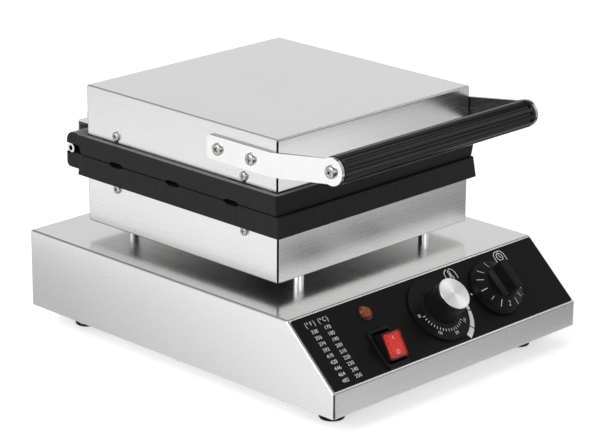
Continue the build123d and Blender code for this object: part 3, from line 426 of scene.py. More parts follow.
def cast_coating(name, colour, grain, relief):
    """A matt black coating with drawn scratches.

    Level faces outside carry painted light, and the faces inside the stick slots carry painted
    shade.
    """
    rim, slot_middle, slot_reach = (9 * MM, 11 * MM), 2.7 * MM, 1.9 * MM
    shader = Shader(name, colour, roughness=0.55, Specular_IOR_Level=0.2)
    skin = shader.noise(shader.coordinates(grain), detail=3, roughness=0.65)
    rubbed = shader.noise(shader.coordinates(22), detail=5, roughness=0.6)
    drawn = shader.noise(shader.coordinates(520, 520, 24), detail=3, roughness=0.6)
    parting = (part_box("lower_housing")[1].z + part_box("lid_housing")[0].z) / 2
    normal = shader.axes("Normal")
    above = shader.maths("SUBTRACT", shader.axes("Object")["Z"], parting)
    outside = shader.spread(above, 0.3, 1, *rim)
    # Painted light: level faces outside the rim are tinted lighter.
    level = shader.maths("MULTIPLY", shader.spread(normal["Z"], 0, 1, 0.75, 0.95), outside)
    cloth = shader.maths("MULTIPLY", rubbed, drawn)
    mixed = shader.maths("MULTIPLY_ADD", cloth, 0.12, level)
    lying = shader.spread(shader.maths("ABSOLUTE", normal["Z"]), 0, 1, 0.3, 0.5)
    off_parting = shader.maths("ABSOLUTE", above)
    groove = shader.maths("COMPARE", off_parting, slot_middle, slot_reach)
    # Painted shade: faces inside the stick slots keep the darkest tint and are made rougher.
    inside = shader.maths("MULTIPLY", groove, lying)
    scratches_with_painted_light_and_shade = shader.maths("MULTIPLY", mixed, shader.maths("SUBTRACT", 1.0, inside, clamp=True))
    shader.tint(scratches_with_painted_light_and_shade, scaled(colour, 0.5), (0.2, 0.2, 0.205))
    gloss = shader.maths("MULTIPLY_ADD", inside, 0.5, shader.spread(rubbed, 0.45, 0.6))
    shader.drive("Roughness", gloss)
    shader.relief(skin, relief, 0.12 * MM)
    return shader.material


def moulded(name, colour, roughness, grain=900, relief=0.08, **sockets):
    """Moulded plastic or rubber with a fine grain."""
    shader = Shader(name, colour, roughness=roughness, **sockets)
    skin = shader.noise(shader.coordinates(grain), detail=2)
    cloud = shader.noise(shader.coordinates(35), detail=3)
    shader.tint(cloud, scaled(colour, 0.8), scaled(colour, 1.25))
    shader.drive("Roughness", shader.spread(cloud, roughness * 0.88, roughness * 1.12))
    shader.relief(skin, relief, 0.05 * MM)
    return shader.material


def ink(name, colour):
    """Screen-printed ink, worn a little thin in places."""
    shader = Shader(name, colour, roughness=0.5)
    shader.tint(shader.noise(shader.coordinates(700), detail=2), scaled(colour, 0.82), colour)
    return shader.material


def settings(name):
    """One of the scene's groups of settings."""
    return getattr(bpy.context.scene, name)


def place_camera():
    """The camera of the photograph."""
    values = settings("waffle_camera")
    middle = Vector((0, (BASE_LOW.y + BASE_HIGH.y) / 2, BASE_LOW.z))
    turn, rise = values.azimuth, values.elevation
    ahead = math.cos(rise)
    back = Vector((math.sin(turn) * ahead, -math.cos(turn) * ahead, math.sin(rise)))
    right = Vector((0, 0, 1)).cross(back).normalized()
    over = back.cross(right)
    cosine, sine = math.cos(values.roll), math.sin(values.roll)
    columns = (right * cosine + over * sine, over * cosine - right * sine, back)
    lens = bpy.data.cameras.new("camera")
    lens.lens = values.lens
    lens.sensor_width = 36
    lens.clip_start = 0.05
    lens.clip_end = 30
    camera = bpy.data.objects.new("camera", lens)
    bpy.context.scene.collection.objects.link(camera)
    turned = Matrix(columns).transposed().to_4x4()
    camera.matrix_world = Matrix.Translation(middle + Vector(values.offset)) @ turned
    bpy.context.scene.camera = camera


LAMPS_AIM = Vector((0, 0, 0.1))
# Name, setting, place, width and height of each lamp.
LAMPS = (
    ("key lamp", "key_power", (-1.6, 0.1, 1.1), 1.6, 1.2),
    ("top lamp", "top_power", (0.1, 0.2, 2.0), 2.4, 2.4),
    ("front lamp", "front_power", (-0.4, -1.9, 1.0), 1.4, 0.9),
)
CARD_HEIGHT = 2 * MM
# Name, setting, corners, the two places between which the tone falls, and the share it falls to.
CARDS = (
    (
        "lip_card",
        "lip_card",
        ((-0.13, -0.225), (1.2, -0.225), (1.2, -0.295), (-0.116, -0.295)),
        ((-0.1, -0.28), (0.24, -0.28)),
        0.6,
    ),
    (
        "box_card",
        "box_card",
        ((-0.116, -0.295), (1.2, -0.295), (1.2, -0.43), (-0.09, -0.43)),
        ((0.15, -0.35), (0.39, -0.35)),
        0.4,
    ),
    (
        "lid_card",
        "lid_card",
        ((-0.09, -0.43), (1.9, -0.43), (1.9, -2.4), (0.12, -1.6)),
        ((0.42, -0.51), (0.57, -0.51)),
        0.5,
    ),
    (
        "corner_card",
        "corner_card",
        ((-0.165, -0.205), (-0.13, -0.225), (0.12, -1.6), (-1.5, -1.5), (-1.4, -0.85)),
        ((-0.2, -0.2), (-1, -1)),
        1,
    ),
    (
        "left_card",
        "left_card",
        ((-0.165, -0.2), (-0.165, 0.7), (-0.32, 0.7), (-0.32, -0.2)),
        ((-0.315, -0.068), (-0.117, 0.029)),
        0.52,
    ),
    (
        "beyond_card",
        "left_card",
        ((-0.32, 0.0), (-0.32, 0.7), (-0.48, 0.7), (-0.48, 0.0)),
        ((-0.32, 0), (-0.48, 0)),
        1,
    ),
)
WHITE = (1, 1, 1, 1)
SEEN_RAYS = ("Is Camera Ray", "Is Transmission Ray")
SQUARE = ((-1, -1), (1, -1), (1, 1), (-1, 1))


def add_lamp(name, place, width, height, power):
    """A rectangular lamp that faces the machine."""
    light = bpy.data.lights.new(name, "AREA")
    light.shape = "RECTANGLE"
    light.size = width
    light.size_y = height
    light.energy = power
    lamp = bpy.data.objects.new(name, light)
    bpy.context.scene.collection.objects.link(lamp)
    lamp.location = place
    lamp.rotation_euler = (LAMPS_AIM - Vector(place)).to_track_quat("-Z", "Y").to_euler()


def make_world(strength, horizon, ceiling):
    """Soft even light all round, white to the camera, with a dim ceiling for polished faces."""
    ceiling_from, ceiling_to = 0.33, 0.62
    world = bpy.data.worlds.new("studio")
    bpy.context.scene.world = world
    world.use_nodes = True
    nodes = Nodes(world.node_tree)
    lit = nodes.tree.nodes["Background"]
    lit.inputs["Color"].default_value = WHITE
    lit.inputs["Strength"].default_value = strength
    height = nodes.parts(nodes.node("ShaderNodeTexCoord").outputs["Generated"])["Z"]
    tone = nodes.spread(height, horizon, ceiling, ceiling_from, ceiling_to)
    seen = nodes.node("ShaderNodeBackground", Color=WHITE)
    white_or_tone = nodes.maths("MAXIMUM", tone, nodes.in_sight(*SEEN_RAYS))
    nodes.link(white_or_tone, seen.inputs["Strength"])
    mixed = nodes.node("ShaderNodeMixShader")
    sharp = nodes.in_sight(*SEEN_RAYS, "Is Glossy Ray")
    nodes.feed((sharp, lit.outputs[0], seen.outputs[0]), mixed.inputs)
    nodes.link(mixed.outputs[0], nodes.tree.nodes["World Output"].inputs["Surface"])


def stage_sheet(name, corners, material):
    """A flat sheet of the stage."""
    def sheet(shape):
        shape.faces.new([shape.verts.new(corner) for corner in corners])

    mesh = mesh_from(sheet, name)
    mesh.materials.append(material)
    made = bpy.data.objects.new(name, mesh)
    bpy.context.scene.collection.objects.link(made)
    return made


def make_floor(colour):
    """A plain pale floor that takes a soft shadow and is white where nothing shades it."""
    reach, glow_unseen, glow_seen = 6, 0.12, 0.5
    plain = {"Specular_IOR_Level": 0.0, "Emission_Color": WHITE}
    shader = Shader("floor", colour, roughness=0.9, **plain)
    glow = shader.spread(shader.in_sight(*SEEN_RAYS), glow_unseen, glow_seen, 0, 1)
    shader.drive("Emission Strength", glow)
    stage_sheet("floor", [(x * reach, y * reach, 0) for x, y in SQUARE], shader.material)


def card_shader(name):
    """A black shader that glows white."""
    plain = {"Specular_IOR_Level": 0.0, "Emission_Color": WHITE}
    return Shader(name, (0, 0, 0), roughness=1.0, **plain)


def add_card(name, corners, shader):
    """A sheet that only polished faces see."""
    card = stage_sheet(name, corners, shader.material)
    card.visible_camera = False
    card.visible_diffuse = False
    card.visible_shadow = False


def make_floor_card(name, corners, near, far, start, end):
    """A card on the floor, its tone falling evenly from one place to another."""
    shader = card_shader(name)
    way = Vector(end) - Vector(start)
    along = shader.vectors("DOT_PRODUCT", shader.place.outputs["Object"], (way.x, way.y, 0))
    first = Vector(start).dot(way)
    tone = shader.spread(along, near, far, first, first + way.length_squared)
    shader.drive("Emission Strength", tone)
    add_card(name, [(x, y, CARD_HEIGHT) for x, y in corners], shader)


def make_strip(tone):
    """A tall white strip above the panel, where the dial's cap mirrors it."""
    middle, across, along = Vector((1.09, -0.59, 1.17)), Vector((0.28, 0, 0)), UP_SLOPE * 0.7
    shader = card_shader("strip_card")
    shader.surface.inputs["Emission Strength"].default_value = tone
    add_card("strip_card", [middle + across * x + along * y for x, y in SQUARE], shader)


class WAFFLE_OT_studio(bpy.types.Operator):
    """Make the camera, the lamps, the floor and the surroundings"""

    bl_idname = "waffle.studio"
    bl_label = "Studio"

    def execute(self, context):
        values = settings("waffle_studio")
        place_camera()
        for name, setting, place, width, height in LAMPS:
            add_lamp(name, place, width, height, getattr(values, setting))
        make_world(values.surround, values.horizon, values.ceiling)
        make_floor(values.floor_colour)
        for name, setting, corners, ends, share in CARDS:
            tone = getattr(values, setting)
            make_floor_card(name, corners, tone, tone * share, *ends)
        make_strip(values.strip_card)
        context.scene.view_settings.view_transform = "Standard"
        return {"FINISHED"}


class WAFFLE_OT_sheet_metal(bpy.types.Operator):
    """Give the folded sheets their brushed finish and the arms, the posts and the pins polished
    steel
    """

    bl_idname = "waffle.sheet_metal"
    bl_label = "Sheet metal"

    def execute(self, context):
        values = settings("waffle_steel")
        sheet = brushed_steel("stainless sheet", values.colour, values.roughness, values.grain)
        paint(sheet, "base_housing", "base_floor", "lower_housing")
        paint(sheet, "lid_housing", "rear_wire_cover")
        arm = handle_steel_painted_shade("handle steel", scaled(values.colour, 1.2), 0.12)
        paint(arm, "left_arm", "right_arm")
        paint(plain_metal("polished steel", values.post_colour, 0.08), "support_posts")
        paint(socket_steel_painted_shade("pin steel", values.post_colour, 0.16), "hinge_pins")
        return {"FINISHED"}


class WAFFLE_OT_castings(bpy.types.Operator):
    """Give the cast plates their black coating"""

    bl_idname = "waffle.castings"
    bl_label = "Cast plates"

    def execute(self, context):
        values = settings("waffle_casting")
        coating = cast_coating("black coating", values.colour, values.grain, values.relief)
        paint(coating, "lower_plate", "upper_plate")
        return {"FINISHED"}


PLATED = (
    "floor_screws foot_screws post_bolts post_nuts wire_tube lower_clamps upper_clamps "
    "lower_clamp_screws upper_clamp_screws rear_cover_screws arm_nuts grip_rod "
    "thermostat_bulb thermostat_spindle timer_spindle"
).split()


class WAFFLE_OT_inner_parts(bpy.types.Operator):
    """Finish the parts inside the base, the lower head and the lid"""

    bl_idname = "waffle.inner_parts"
    bl_label = "Inner parts"

    def execute(self, context):
        paint(plain_metal("plated steel", (0.6, 0.6, 0.58), 0.35), *PLATED)
        sheath = plain_metal("tinted sheath", (0.3, 0.24, 0.2), 0.45)
        paint(sheath, "lower_heater", "upper_heater")
        board = moulded("mineral board", (0.72, 0.68, 0.6), 0.95, 300, 0.5)
        paint(board, "lower_insulation", "upper_insulation")
        cream = moulded("cream moulding", (0.7, 0.68, 0.6), 0.5)
        paint(cream, "thermostat_body", "timer_body", "terminal_block")
        return {"FINISHED"}


class WAFFLE_OT_mouldings(bpy.types.Operator):
    """Finish the knobs, the grip, the feet, the panel and the cable entry"""

    bl_idname = "waffle.mouldings"
    bl_label = "Mouldings"

    def execute(self, context):
        values = settings("waffle_plastic")
        knob = moulded("knob black", values.black, 0.32, Specular_IOR_Level=0.1)
        paint(knob, "thermostat_knob", "timer_knob", "switch_housing", "switch_rocker")
        paint(knob, "cord_gland")
        grip_black = scaled(values.black, 0.6)
        grip = moulded("grip black", grip_black, 0.12, 500, 0.01, Specular_IOR_Level=0.24)
        paint(grip, "handle_grip")
        film = moulded("panel film", values.overlay, 0.42, 1800, 0.05, Specular_IOR_Level=0.08)
        paint(film, "control_panel")
        rubber = moulded("foot rubber", values.rubber, 0.75, 1100, 0.3, Specular_IOR_Level=0.2)
        paint(rubber, "rubber_feet")
        paint(moulded("lamp bezel", (0.03, 0.02, 0.015), 0.25), "indicator_lamp")
        return {"FINISHED"}


def lathe(profile, segments=48):
    """A function that fills a bmesh with a profile of radius and height turned about Z."""
    def build(shape):
        rings = []
        for radius, height in profile:
            if radius == 0:
                rings.append([shape.verts.new((0, 0, height))])
                continue
            ring = []
            for step in range(segments):
                angle = 2 * math.pi * step / segments
                x, y = radius * math.cos(angle), radius * math.sin(angle)
                ring.append(shape.verts.new((x, y, height)))
            rings.append(ring)
        for lower, upper in zip(rings, rings[1:]):
            for step in range(segments):
                after = (step + 1) % segments
                if len(lower) == 1:
                    shape.faces.new((lower[0], upper[after], upper[step]))
                elif len(upper) == 1:
                    shape.faces.new((lower[step], lower[after], upper[0]))
                else:
                    shape.faces.new((lower[step], lower[after], upper[after], upper[step]))
        bmesh.ops.recalc_face_normals(shape, faces=shape.faces)

    return build


def evaluated_mesh(holder):
    """A new mesh of an object as its modifiers or its curve leave it."""
    bpy.context.view_layer.update()
    graph = bpy.context.evaluated_depsgraph_get()
    return bpy.data.meshes.new_from_object(holder.evaluated_get(graph))


def screw_mesh(head, height, shank, length):
    """A pan-head screw with a cross recess, its head standing on its origin."""
    brim, crown, steps = 0.35, 0.55, 6
    profile = [(0, -length), (shank, -length), (shank, 0), (head, 0), (head, height * brim)]
    for step in range(1, steps + 1):
        angle = math.pi / 2 * step / steps
        radius = head * (crown + 0.45 * math.cos(angle))
        profile.append((radius, height * (brim + 0.65 * math.sin(angle))))
    profile.append((0, height))
    mesh = mesh_from(lathe(profile, 40), "screw")

    def cross(shape):
        wide, narrow, deep = head * 0.62, head * 0.14, height * 0.75
        for turn in (0, math.pi / 2):
            matrix = Matrix.Rotation(turn, 4, "Z")
            top = [(-wide, -narrow), (wide, -narrow), (wide, narrow), (-wide, narrow)]
            upper = [shape.verts.new(matrix @ Vector((x, y, height * 1.2))) for x, y in top]
            foot = [(x * 0.45, y * 0.8, height - deep) for x, y in top]
            lower = [shape.verts.new(matrix @ Vector(point)) for point in foot]
            shape.faces.new(upper)
            shape.faces.new(lower[::-1])
            for index in range(4):
                after = (index + 1) % 4
                shape.faces.new((lower[index], lower[after], upper[after], upper[index]))
        bmesh.ops.recalc_face_normals(shape, faces=shape.faces)

    body = bpy.data.objects.new("screw body", mesh)
    cutter = bpy.data.objects.new("screw cutter", mesh_from(cross, "cross"))
    for made in (body, cutter):
        bpy.context.scene.collection.objects.link(made)
    cut = body.modifiers.new("recess", "BOOLEAN")
    cut.operation = "DIFFERENCE"
    cut.object = cutter
    cut.use_self = True
    result = evaluated_mesh(body)
    for made in (body, cutter):
        bpy.data.objects.remove(made)
    smooth_by_angle(result, 40)
    return result


def joined(name, mesh, matrices):
    """One mesh with a copy of another at each matrix."""
    def build(shape):
        for matrix in matrices:
            copy = mesh.copy()
            copy.transform(matrix)
            shape.from_mesh(copy)
            bpy.data.meshes.remove(copy)

    result = mesh_from(build, name)
    smooth_by_angle(result, 40)
    return result


def side_matrix(side, x, y, z, turn):
    """A frame on the left or right wall, its Z pointing out."""
    face = Matrix.Rotation(side * math.pi / 2, 4, "Y")
    return Matrix.Translation((x, y, z)) @ face @ Matrix.Rotation(turn, 4, "Z")


def dress_screws(node, body, head, height, shank, material):
    """Replaces a node of side screws with screws that have a cross recess."""
    low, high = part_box(node)
    z = (low.z + high.z) / 2
    mesh = screw_mesh(head, height, shank, 6 * MM)
    places = []
    rows = sorted({round(low.y + head, 6), round(high.y - head, 6)})
    for index, y in enumerate(rows):
        for side in (-1, 1):
            x = (high.x - height) if side > 0 else (low.x + height)
            turn = 0.5 + 0.9 * index + 0.4 * side
            places.append(side_matrix(side, x, y, z, turn))
    screws = joined(node, mesh, places)
    piece = add_piece(node + "_dressed", screws, body, material)
    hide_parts(node)


class WAFFLE_OT_screws(bpy.types.Operator):
    """Make the cross-recessed screws on the sides and the handle"""

    bl_idname = "waffle.screws"
    bl_label = "Screws"

    def execute(self, context):
        bright = plain_metal("screw steel", settings("waffle_steel").bolt_colour, 0.22)
        dress_screws("lower_housing_screws", "base", 4.2 * MM, 2.6 * MM, 2.0 * MM, bright)
        dress_screws("lid_housing_screws", "lid", 4.2 * MM, 2.6 * MM, 2.0 * MM, bright)
        dress_screws("arm_screws", "lid", 5.5 * MM, 3.2 * MM, 2.5 * MM, bright)
        dress_screws("grip_screws", "lid", 5.8 * MM, 3.4 * MM, 3.0 * MM, bright)
        return {"FINISHED"}


def ribbon(shape, points, width, closed=False):
    """A flat strip of even width along points."""
    count = len(points)
    left, right = [], []
    for index, point in enumerate(points):
        before = points[(index - 1) % count] if closed or index else point
        after = points[(index + 1) % count] if closed or index < count - 1 else point
        way = (Vector(after) - Vector(before)).normalized()
        side = Vector((-way.y, way.x)) * width / 2
        left.append(shape.verts.new((point[0] + side.x, point[1] + side.y, 0)))
        right.append(shape.verts.new((point[0] - side.x, point[1] - side.y, 0)))
    last = count if closed else count - 1
    for index in range(last):
        after = (index + 1) % count
        shape.faces.new((right[index], right[after], left[after], left[index]))


def arc(x, y, radius, start, end, steps=24):
    """Points on a circle between two angles in degrees."""
    angles = [math.radians(start + (end - start) * step / steps) for step in range(steps + 1)]
    return [(x + radius * math.cos(angle), y + radius * math.sin(angle)) for angle in angles]


def band(shape, x, y, inner, widths, start, end, steps=20):
    """A strip round a centre whose width changes from one end to the other."""
    outer_ring, inner_ring = [], []
    for step in range(steps + 1):
        part = step / steps
        angle = math.radians(start + (end - start) * part)
        outer = inner + widths[0] + (widths[1] - widths[0]) * part
        for ring, radius in ((inner_ring, inner), (outer_ring, outer)):
            place = (x + radius * math.cos(angle), y + radius * math.sin(angle), 0)
            ring.append(shape.verts.new(place))
    for step in range(steps):
        after = step + 1
        corners = (inner_ring[step], outer_ring[step], outer_ring[after], inner_ring[after])
        shape.faces.new(corners)


def add_text(shape, text, size, x=0, y=0, squeeze=0.8):
    """Adds flat letters, squeezed to a share of their width, to a bmesh."""
    curve = bpy.data.curves.new("text", "FONT")
    curve.body = text
    curve.size = size
    curve.align_x = "CENTER"
    curve.align_y = "CENTER"
    curve.space_character = 1.06
    holder = bpy.data.objects.new("text", curve)
    bpy.context.scene.collection.objects.link(holder)
    mesh = evaluated_mesh(holder)
    bpy.data.objects.remove(holder)
    mesh.transform(Matrix.Diagonal((squeeze, 1, 1, 1)))
    mesh.transform(Matrix.Translation((x, y, 0)))
    shape.from_mesh(mesh)
    bpy.data.meshes.remove(mesh)


def print_table(shape):
    """The two columns of temperatures."""
    values = settings("waffle_print")
    header, last_row = 64.5 * MM, 8 * MM
    size = values.number_size
    bracket_size, unit_size, bracket_reach = size * 1.35, size * 1.15, 4.9 * MM
    columns = (
        (-137.7 * MM, "F", values.left_column.split()),
        (-122.2 * MM, "C", values.right_column.split()),
    )
    for x, unit, numbers in columns:
        add_text(shape, "(", bracket_size, x - bracket_reach, header)
        add_text(shape, unit, unit_size, x + 1.2 * MM, header)
        degree = arc(x - 2.4 * MM, header + 1.4 * MM, 0.7 * MM, 0, 360, 12)[:-1]
        ribbon(shape, degree, 0.35 * MM, closed=True)
        add_text(shape, ")", bracket_size, x + bracket_reach, header)
        for row, number in enumerate(numbers):
            y = last_row + (8 - row) * values.row_pitch
            add_text(shape, number, size, x, y, 1.0)


def print_brackets(shape, x, y, width, height, line):
    """Two rounded brackets that face each other."""
    corner = width * 0.42
    for side in (-1, 1):
        edge = x + side * width / 2
        start, end = (180, 90) if side < 0 else (0, 90)
        bend = arc(edge - side * corner, y + height / 2 - corner, corner, start, end, 8)
        ribbon(shape, [(edge, y - height / 2)] + bend, line)


def print_icons(shape):
    """A thermometer by the dial and a clock by the timer."""
    unit = 1.2 * MM
    line = 0.75 * MM
    x, y = 38.5 * MM, 64 * MM
    print_brackets(shape, x, y, 11 * unit, 9 * unit, line)
    ribbon(shape, arc(x, y - 2.6 * unit, 1.7 * unit, 120, 420, 16), line)
    stem, stem_foot, stem_top = 0.85 * unit, y - 1.1 * unit, y + 2.4 * unit
    bend = arc(x, stem_top, stem, 180, 0, 8)
    stem_line = [(x - stem, stem_foot), (x - stem, stem_top), *bend, (x + stem, stem_foot)]
    ribbon(shape, stem_line, line)
    ribbon(shape, [(x, y - 2.8 * unit), (x, y + 1.2 * unit)], line)
    x, y = 105.5 * MM, 64.5 * MM
    print_brackets(shape, x, y, 11 * unit, 9 * unit, line)
    ribbon(shape, arc(x, y - 0.4 * unit, 3 * unit, 0, 360, 24)[:-1], line, closed=True)
    hands = [(x, y + 1.5 * unit), (x, y - 0.4 * unit), (x + 1.3 * unit, y - 1.3 * unit)]
    ribbon(shape, hands, line)
    ribbon(shape, [(x - 1.2 * unit, y + 3.9 * unit), (x + 1.2 * unit, y + 3.9 * unit)], line)


def print_scale(shape):
    """The widening band beside the dial, its thin end and the index dot."""
    x, y = 1.5 * MM, DIAL_UP - 1.2 * MM
    inner = 31.2 * MM
    start, finish = 91.0, -66.0
    dot_x, dot_y, dot_radius = 47.5 * MM, 40 * MM, 0.9 * MM

    def width_at(angle):
        part = (start - angle) / (start - finish)
        return (0.7 + 4.5 * part) * MM

    for first, last in ((91, 69), (67, 48), (-6, -14), (-16, -45), (-47, -66)):
        band(shape, x, y, inner, (width_at(first), width_at(last)), first, last)
    ribbon(shape, [(5.2 * MM, 66 * MM), (9.4 * MM, 62.2 * MM)], 0.6 * MM)
    ring = arc(0, 0, dot_radius, 0, 350, 16)
    shape.faces.new([shape.verts.new((dot_x + px, dot_y + py, 0)) for px, py in ring])


def print_timer_marks(shape):
    """Short marks on the panel beside the timer."""
    bent = [(102.2 * MM, 28 * MM), (102.8 * MM, 25.4 * MM), (103.8 * MM, 23 * MM)]
    ribbon(shape, bent, 0.6 * MM)
    ribbon(shape, [(92.6 * MM, 19 * MM), (94 * MM, 16 * MM)], 0.7 * MM)


class WAFFLE_OT_panel_print(bpy.types.Operator):
    """Print the table, the icons and the scale on the panel"""

    bl_idname = "waffle.panel_print"
    bl_label = "Panel print"

    def execute(self, context):
        values = settings("waffle_print")
        white = ink("white ink", values.colour)
        lift = OVERLAY_FACE + values.lift
        groups = {
            "panel_table": print_table,
            "panel_icons": print_icons,
            "dial_scale": print_scale,
            "timer_marks": print_timer_marks,
        }
        place = panel_matrix(0, 0, lift)
        for name, build in groups.items():
            add_piece(name, mesh_from(build, name), "base", white, place)
        return {"FINISHED"}


def cone_matrix(angle, radius, height, slope):
    """A frame on a cone's face, its Y pointing down and out, at an angle in degrees."""
    spin = Matrix.Rotation(math.radians(angle + 90), 4, "Z")
    place = Matrix.Translation((0, -radius, height))
    return spin @ place @ Matrix.Rotation(slope, 4, "X")


def add_mark(shape, build, matrix):
    """Adds what a function draws in the plane, moved by a matrix."""
    mesh = mesh_from(build, "mark")
    mesh.transform(matrix)
    shape.from_mesh(mesh)
    bpy.data.meshes.remove(mesh)


def cone_print(cone, ticks, numbers):
    """A function that prints ticks and numbers on a knob's cone.

    The cone is given by the height and radius of its upper edge, its fall, the run over which it
    falls and the ink's lift. Ticks have a radius, half their length, a width and their angles.
    Numbers have a radius, a size and the text at each angle. Lengths are in millimetres and
    angles in degrees.
    """
    top, edge, fall, run, lift = cone

    def matrix(angle, radius):
        height = (top - (radius - edge) * fall / run) * MM + lift * MM
        return cone_matrix(angle, radius * MM, height, math.atan2(fall, run))

    def build(shape):
        radius, half, width, angles = ticks
        for angle in angles:
            line = [(0, -half * MM), (0, half * MM)]
            add_mark(shape, lambda plan: ribbon(plan, line, width * MM), matrix(angle, radius))
        radius, size, texts = numbers
        for angle, text in texts.items():
            add_mark(shape, lambda plan: add_text(plan, text, size * MM), matrix(angle, radius))

    return build


DIAL_TICK_ANGLES = [186 + step * 126 / 16 for step in range(17)]
print_dial = cone_print(
    (4.4, 20.0, 1.0, 8.3, 0.1),
    (21.9, 1.3, 0.6, DIAL_TICK_ANGLES),
    (26.0, 3.8, {180: "50", 233: "150", 275: "200", 316: "250"}),
)
print_timer = cone_print(
    (12.0, 14.5, 4.0, 10.5, 0.12),
    (20.8, 3.4, 0.7, (93, 127, 152, 180, 235, 287, 335)),
    (20.4, 6.6, {209: "1", 261: "2", 311: "3"}),
)


class WAFFLE_OT_dial_marks(bpy.types.Operator):
    """Print the ticks and numbers on the dial and the timer"""

    bl_idname = "waffle.dial_marks"
    bl_label = "Dial marks"

    def execute(self, context):
        colour = settings("waffle_print").colour
        white = ink("knob ink", colour)
        dull = ink("timer ink", scaled(colour, 0.75))
        dial = mesh_from(print_dial, "dial_numbers")
        timer = mesh_from(print_timer, "timer_numbers")
        place = panel_matrix(0, DIAL_UP)
        add_piece("dial_numbers", dial, "thermostat_dial", white, place)
        place = panel_matrix(TIMER_X, DIAL_UP)
        add_piece("timer_numbers", timer, "timer_dial", dull, place)
        return {"FINISHED"}


def spun_metal(name, colour):
    """Aluminium turned on a lathe: fine rings that stretch each highlight along the radius."""
    streaks = {"Anisotropic": 0.88, "Anisotropic_Rotation": 0.25}
    shader = Shader(name, colour, metallic=1.0, roughness=0.34, **streaks)
    tangent = shader.node("ShaderNodeTangent", direction_type="RADIAL", axis="Z")
    shader.drive("Tangent", tangent.outputs["Tangent"])
    rings = shader.node("ShaderNodeTexNoise", noise_dimensions="1D", Scale=2600, Detail=2)
    shader.link(shader.vectors("LENGTH", shader.coordinates(1, 1, 0)), rings.inputs["W"])
    shader.tint(rings.outputs["Fac"], scaled(colour, 0.86), scaled(colour, 1.08))
    # Painted shade: the cap's upright rim is covered with a near-black grey.
    rim = shader.maths("LESS_THAN", shader.axes("Normal")["Z"], 0.35)
    shader.cover(rim, grey(0.06))
    return shader.material


class WAFFLE_OT_dial_cap(bpy.types.Operator):
    """Make the dial's spun cap"""

    bl_idname = "waffle.dial_cap"
    bl_label = "Dial cap"

    def execute(self, context):
        radius, foot, top, bevel = 15.35 * MM, 26.0 * MM, 29.0 * MM, 0.4 * MM
        rim = [(radius, foot), (radius, top - bevel), (radius - bevel, top)]
        mesh = mesh_from(lathe([(0, foot), *rim, (0, top)], 96), "dial_cap")
        smooth_by_angle(mesh, 30)
        metal = spun_metal("spun aluminium", (0.9, 0.9, 0.91))
        place = panel_matrix(0, DIAL_UP)
        cap = add_piece("dial_cap", mesh, "thermostat_dial", metal, place)
        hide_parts("thermostat_cap")
        return {"FINISHED"}


def lens_plastic(name, colour, cell, contrast):
    """Clear coloured plastic with a pattern of small prisms moulded on its inside."""
    shader = Shader(name, colour, roughness=0.16, Specular_IOR_Level=0.25)
    cells = shader.node("ShaderNodeTexVoronoi", Scale=cell, feature="F1")
    shader.link(shader.place.outputs["Object"], cells.inputs["Vector"])
    factor = shader.spread(cells.outputs["Distance"], 0, 1, 0.1, 0.75)
    shader.tint(factor, scaled(colour, 1 + contrast), scaled(colour, 1 - contrast))
    return shader.material


def clear_cover(name):
    """A clear flexible cover."""
    return Shader(name, (0.9, 0.12, 0.1), roughness=0.14, IOR=1.42, Alpha=0.12).material


def print_rocker_marks(shape):
    """The line and the ring that show on and off."""
    ribbon(shape, [(0, 4.6 * MM), (0, 8.0 * MM)], 0.9 * MM)
    ribbon(shape, arc(0, -6.3 * MM, 1.7 * MM, 0, 360, 28)[:-1], 0.75 * MM, closed=True)


def rocker_edge_painted_shade(shape):
    """Painted shade round the rocker's face, drawn as a dark line."""
    wide, tall, corner = 7.3 * MM, 9.4 * MM, 1.2 * MM
    points = []
    for x, y, start in ((1, 1, 0), (-1, 1, 90), (-1, -1, 180), (1, -1, 270)):
        points += arc(x * (wide - corner), y * (tall - corner), corner, start, start + 90, 6)
    ribbon(shape, points, 0.6 * MM, closed=True)


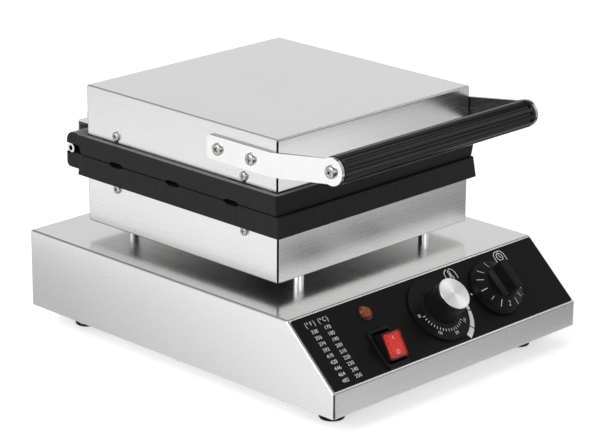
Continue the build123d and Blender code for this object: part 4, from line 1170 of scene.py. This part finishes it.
class WAFFLE_OT_switch_and_lamp(bpy.types.Operator):
    """Finish the rocker's lens, its cover and the lamp"""

    bl_idname = "waffle.switch_and_lamp"
    bl_label = "Switch and lamp"

    def execute(self, context):
        values = settings("waffle_plastic")
        paint(lens_plastic("red lens", values.red, 260, 0.12), "switch_lens")
        paint(lens_plastic("amber lens", values.amber, 620, 0.6), "indicator_lens")
        paint(clear_cover("clear cover"), "switch_boot")
        lean, pivot_up, pivot_off, face = math.radians(17), 21.5 * MM, 1.5 * MM, 10.06 * MM
        pivot = panel_matrix(-TIMER_X, pivot_up, pivot_off, 0, lean)
        place = pivot @ Matrix.Translation((0, 0, face))
        for name, build, material in (
            ("rocker_marks", print_rocker_marks, ink("switch ink", (0.85, 0.8, 0.8))),
            # The outline is painted shade at the rocker's edge, drawn in a dark ink.
            ("rocker_outline", rocker_edge_painted_shade, ink("dark line", (0.06, 0.008, 0.008))),
        ):
            add_piece(name, mesh_from(build, name), "rocker", material, place)
        return {"FINISHED"}


class WAFFLE_PT_sidebar(bpy.types.Panel):
    """Lists the steps and their settings."""

    bl_idname = "WAFFLE_PT_sidebar"
    bl_label = "Waffle Maker"
    bl_space_type = "VIEW_3D"
    bl_region_type = "UI"
    bl_category = "Waffle Maker"

    def draw(self, context):
        for group, kind in GROUPS.items():
            box = self.layout.box()
            box.label(text=kind.__doc__)
            for name in kind.__annotations__:
                box.prop(getattr(context.scene, group), name)
        for step in STEPS:
            self.layout.operator(step.bl_idname)


GROUPS = {
    "waffle_camera": CameraSettings,
    "waffle_studio": StudioSettings,
    "waffle_steel": SteelSettings,
    "waffle_casting": CastingSettings,
    "waffle_plastic": PlasticSettings,
    "waffle_print": PrintSettings,
}
STEPS = (
    WAFFLE_OT_studio,
    WAFFLE_OT_sheet_metal,
    WAFFLE_OT_castings,
    WAFFLE_OT_inner_parts,
    WAFFLE_OT_mouldings,
    WAFFLE_OT_dial_cap,
    WAFFLE_OT_switch_and_lamp,
    WAFFLE_OT_panel_print,
    WAFFLE_OT_dial_marks,
    WAFFLE_OT_screws,
)


def register():
    """Registers the settings, the steps and the sidebar."""
    for kind in (*GROUPS.values(), *STEPS, WAFFLE_PT_sidebar):
        bpy.utils.register_class(kind)
    for group, kind in GROUPS.items():
        setattr(bpy.types.Scene, group, PointerProperty(type=kind))


def unregister():
    """Takes the registered classes away again."""
    for group in GROUPS:
        delattr(bpy.types.Scene, group)
    for kind in reversed((*GROUPS.values(), *STEPS, WAFFLE_PT_sidebar)):
        bpy.utils.unregister_class(kind)


def main():
    """Runs every step in order."""
    register()
    for step in STEPS:
        family, name = step.bl_idname.split(".")
        if getattr(getattr(bpy.ops, family), name)() != {"FINISHED"}:
            raise RuntimeError(step.bl_label + " did not finish")


if __name__ == "__main__":
    main()
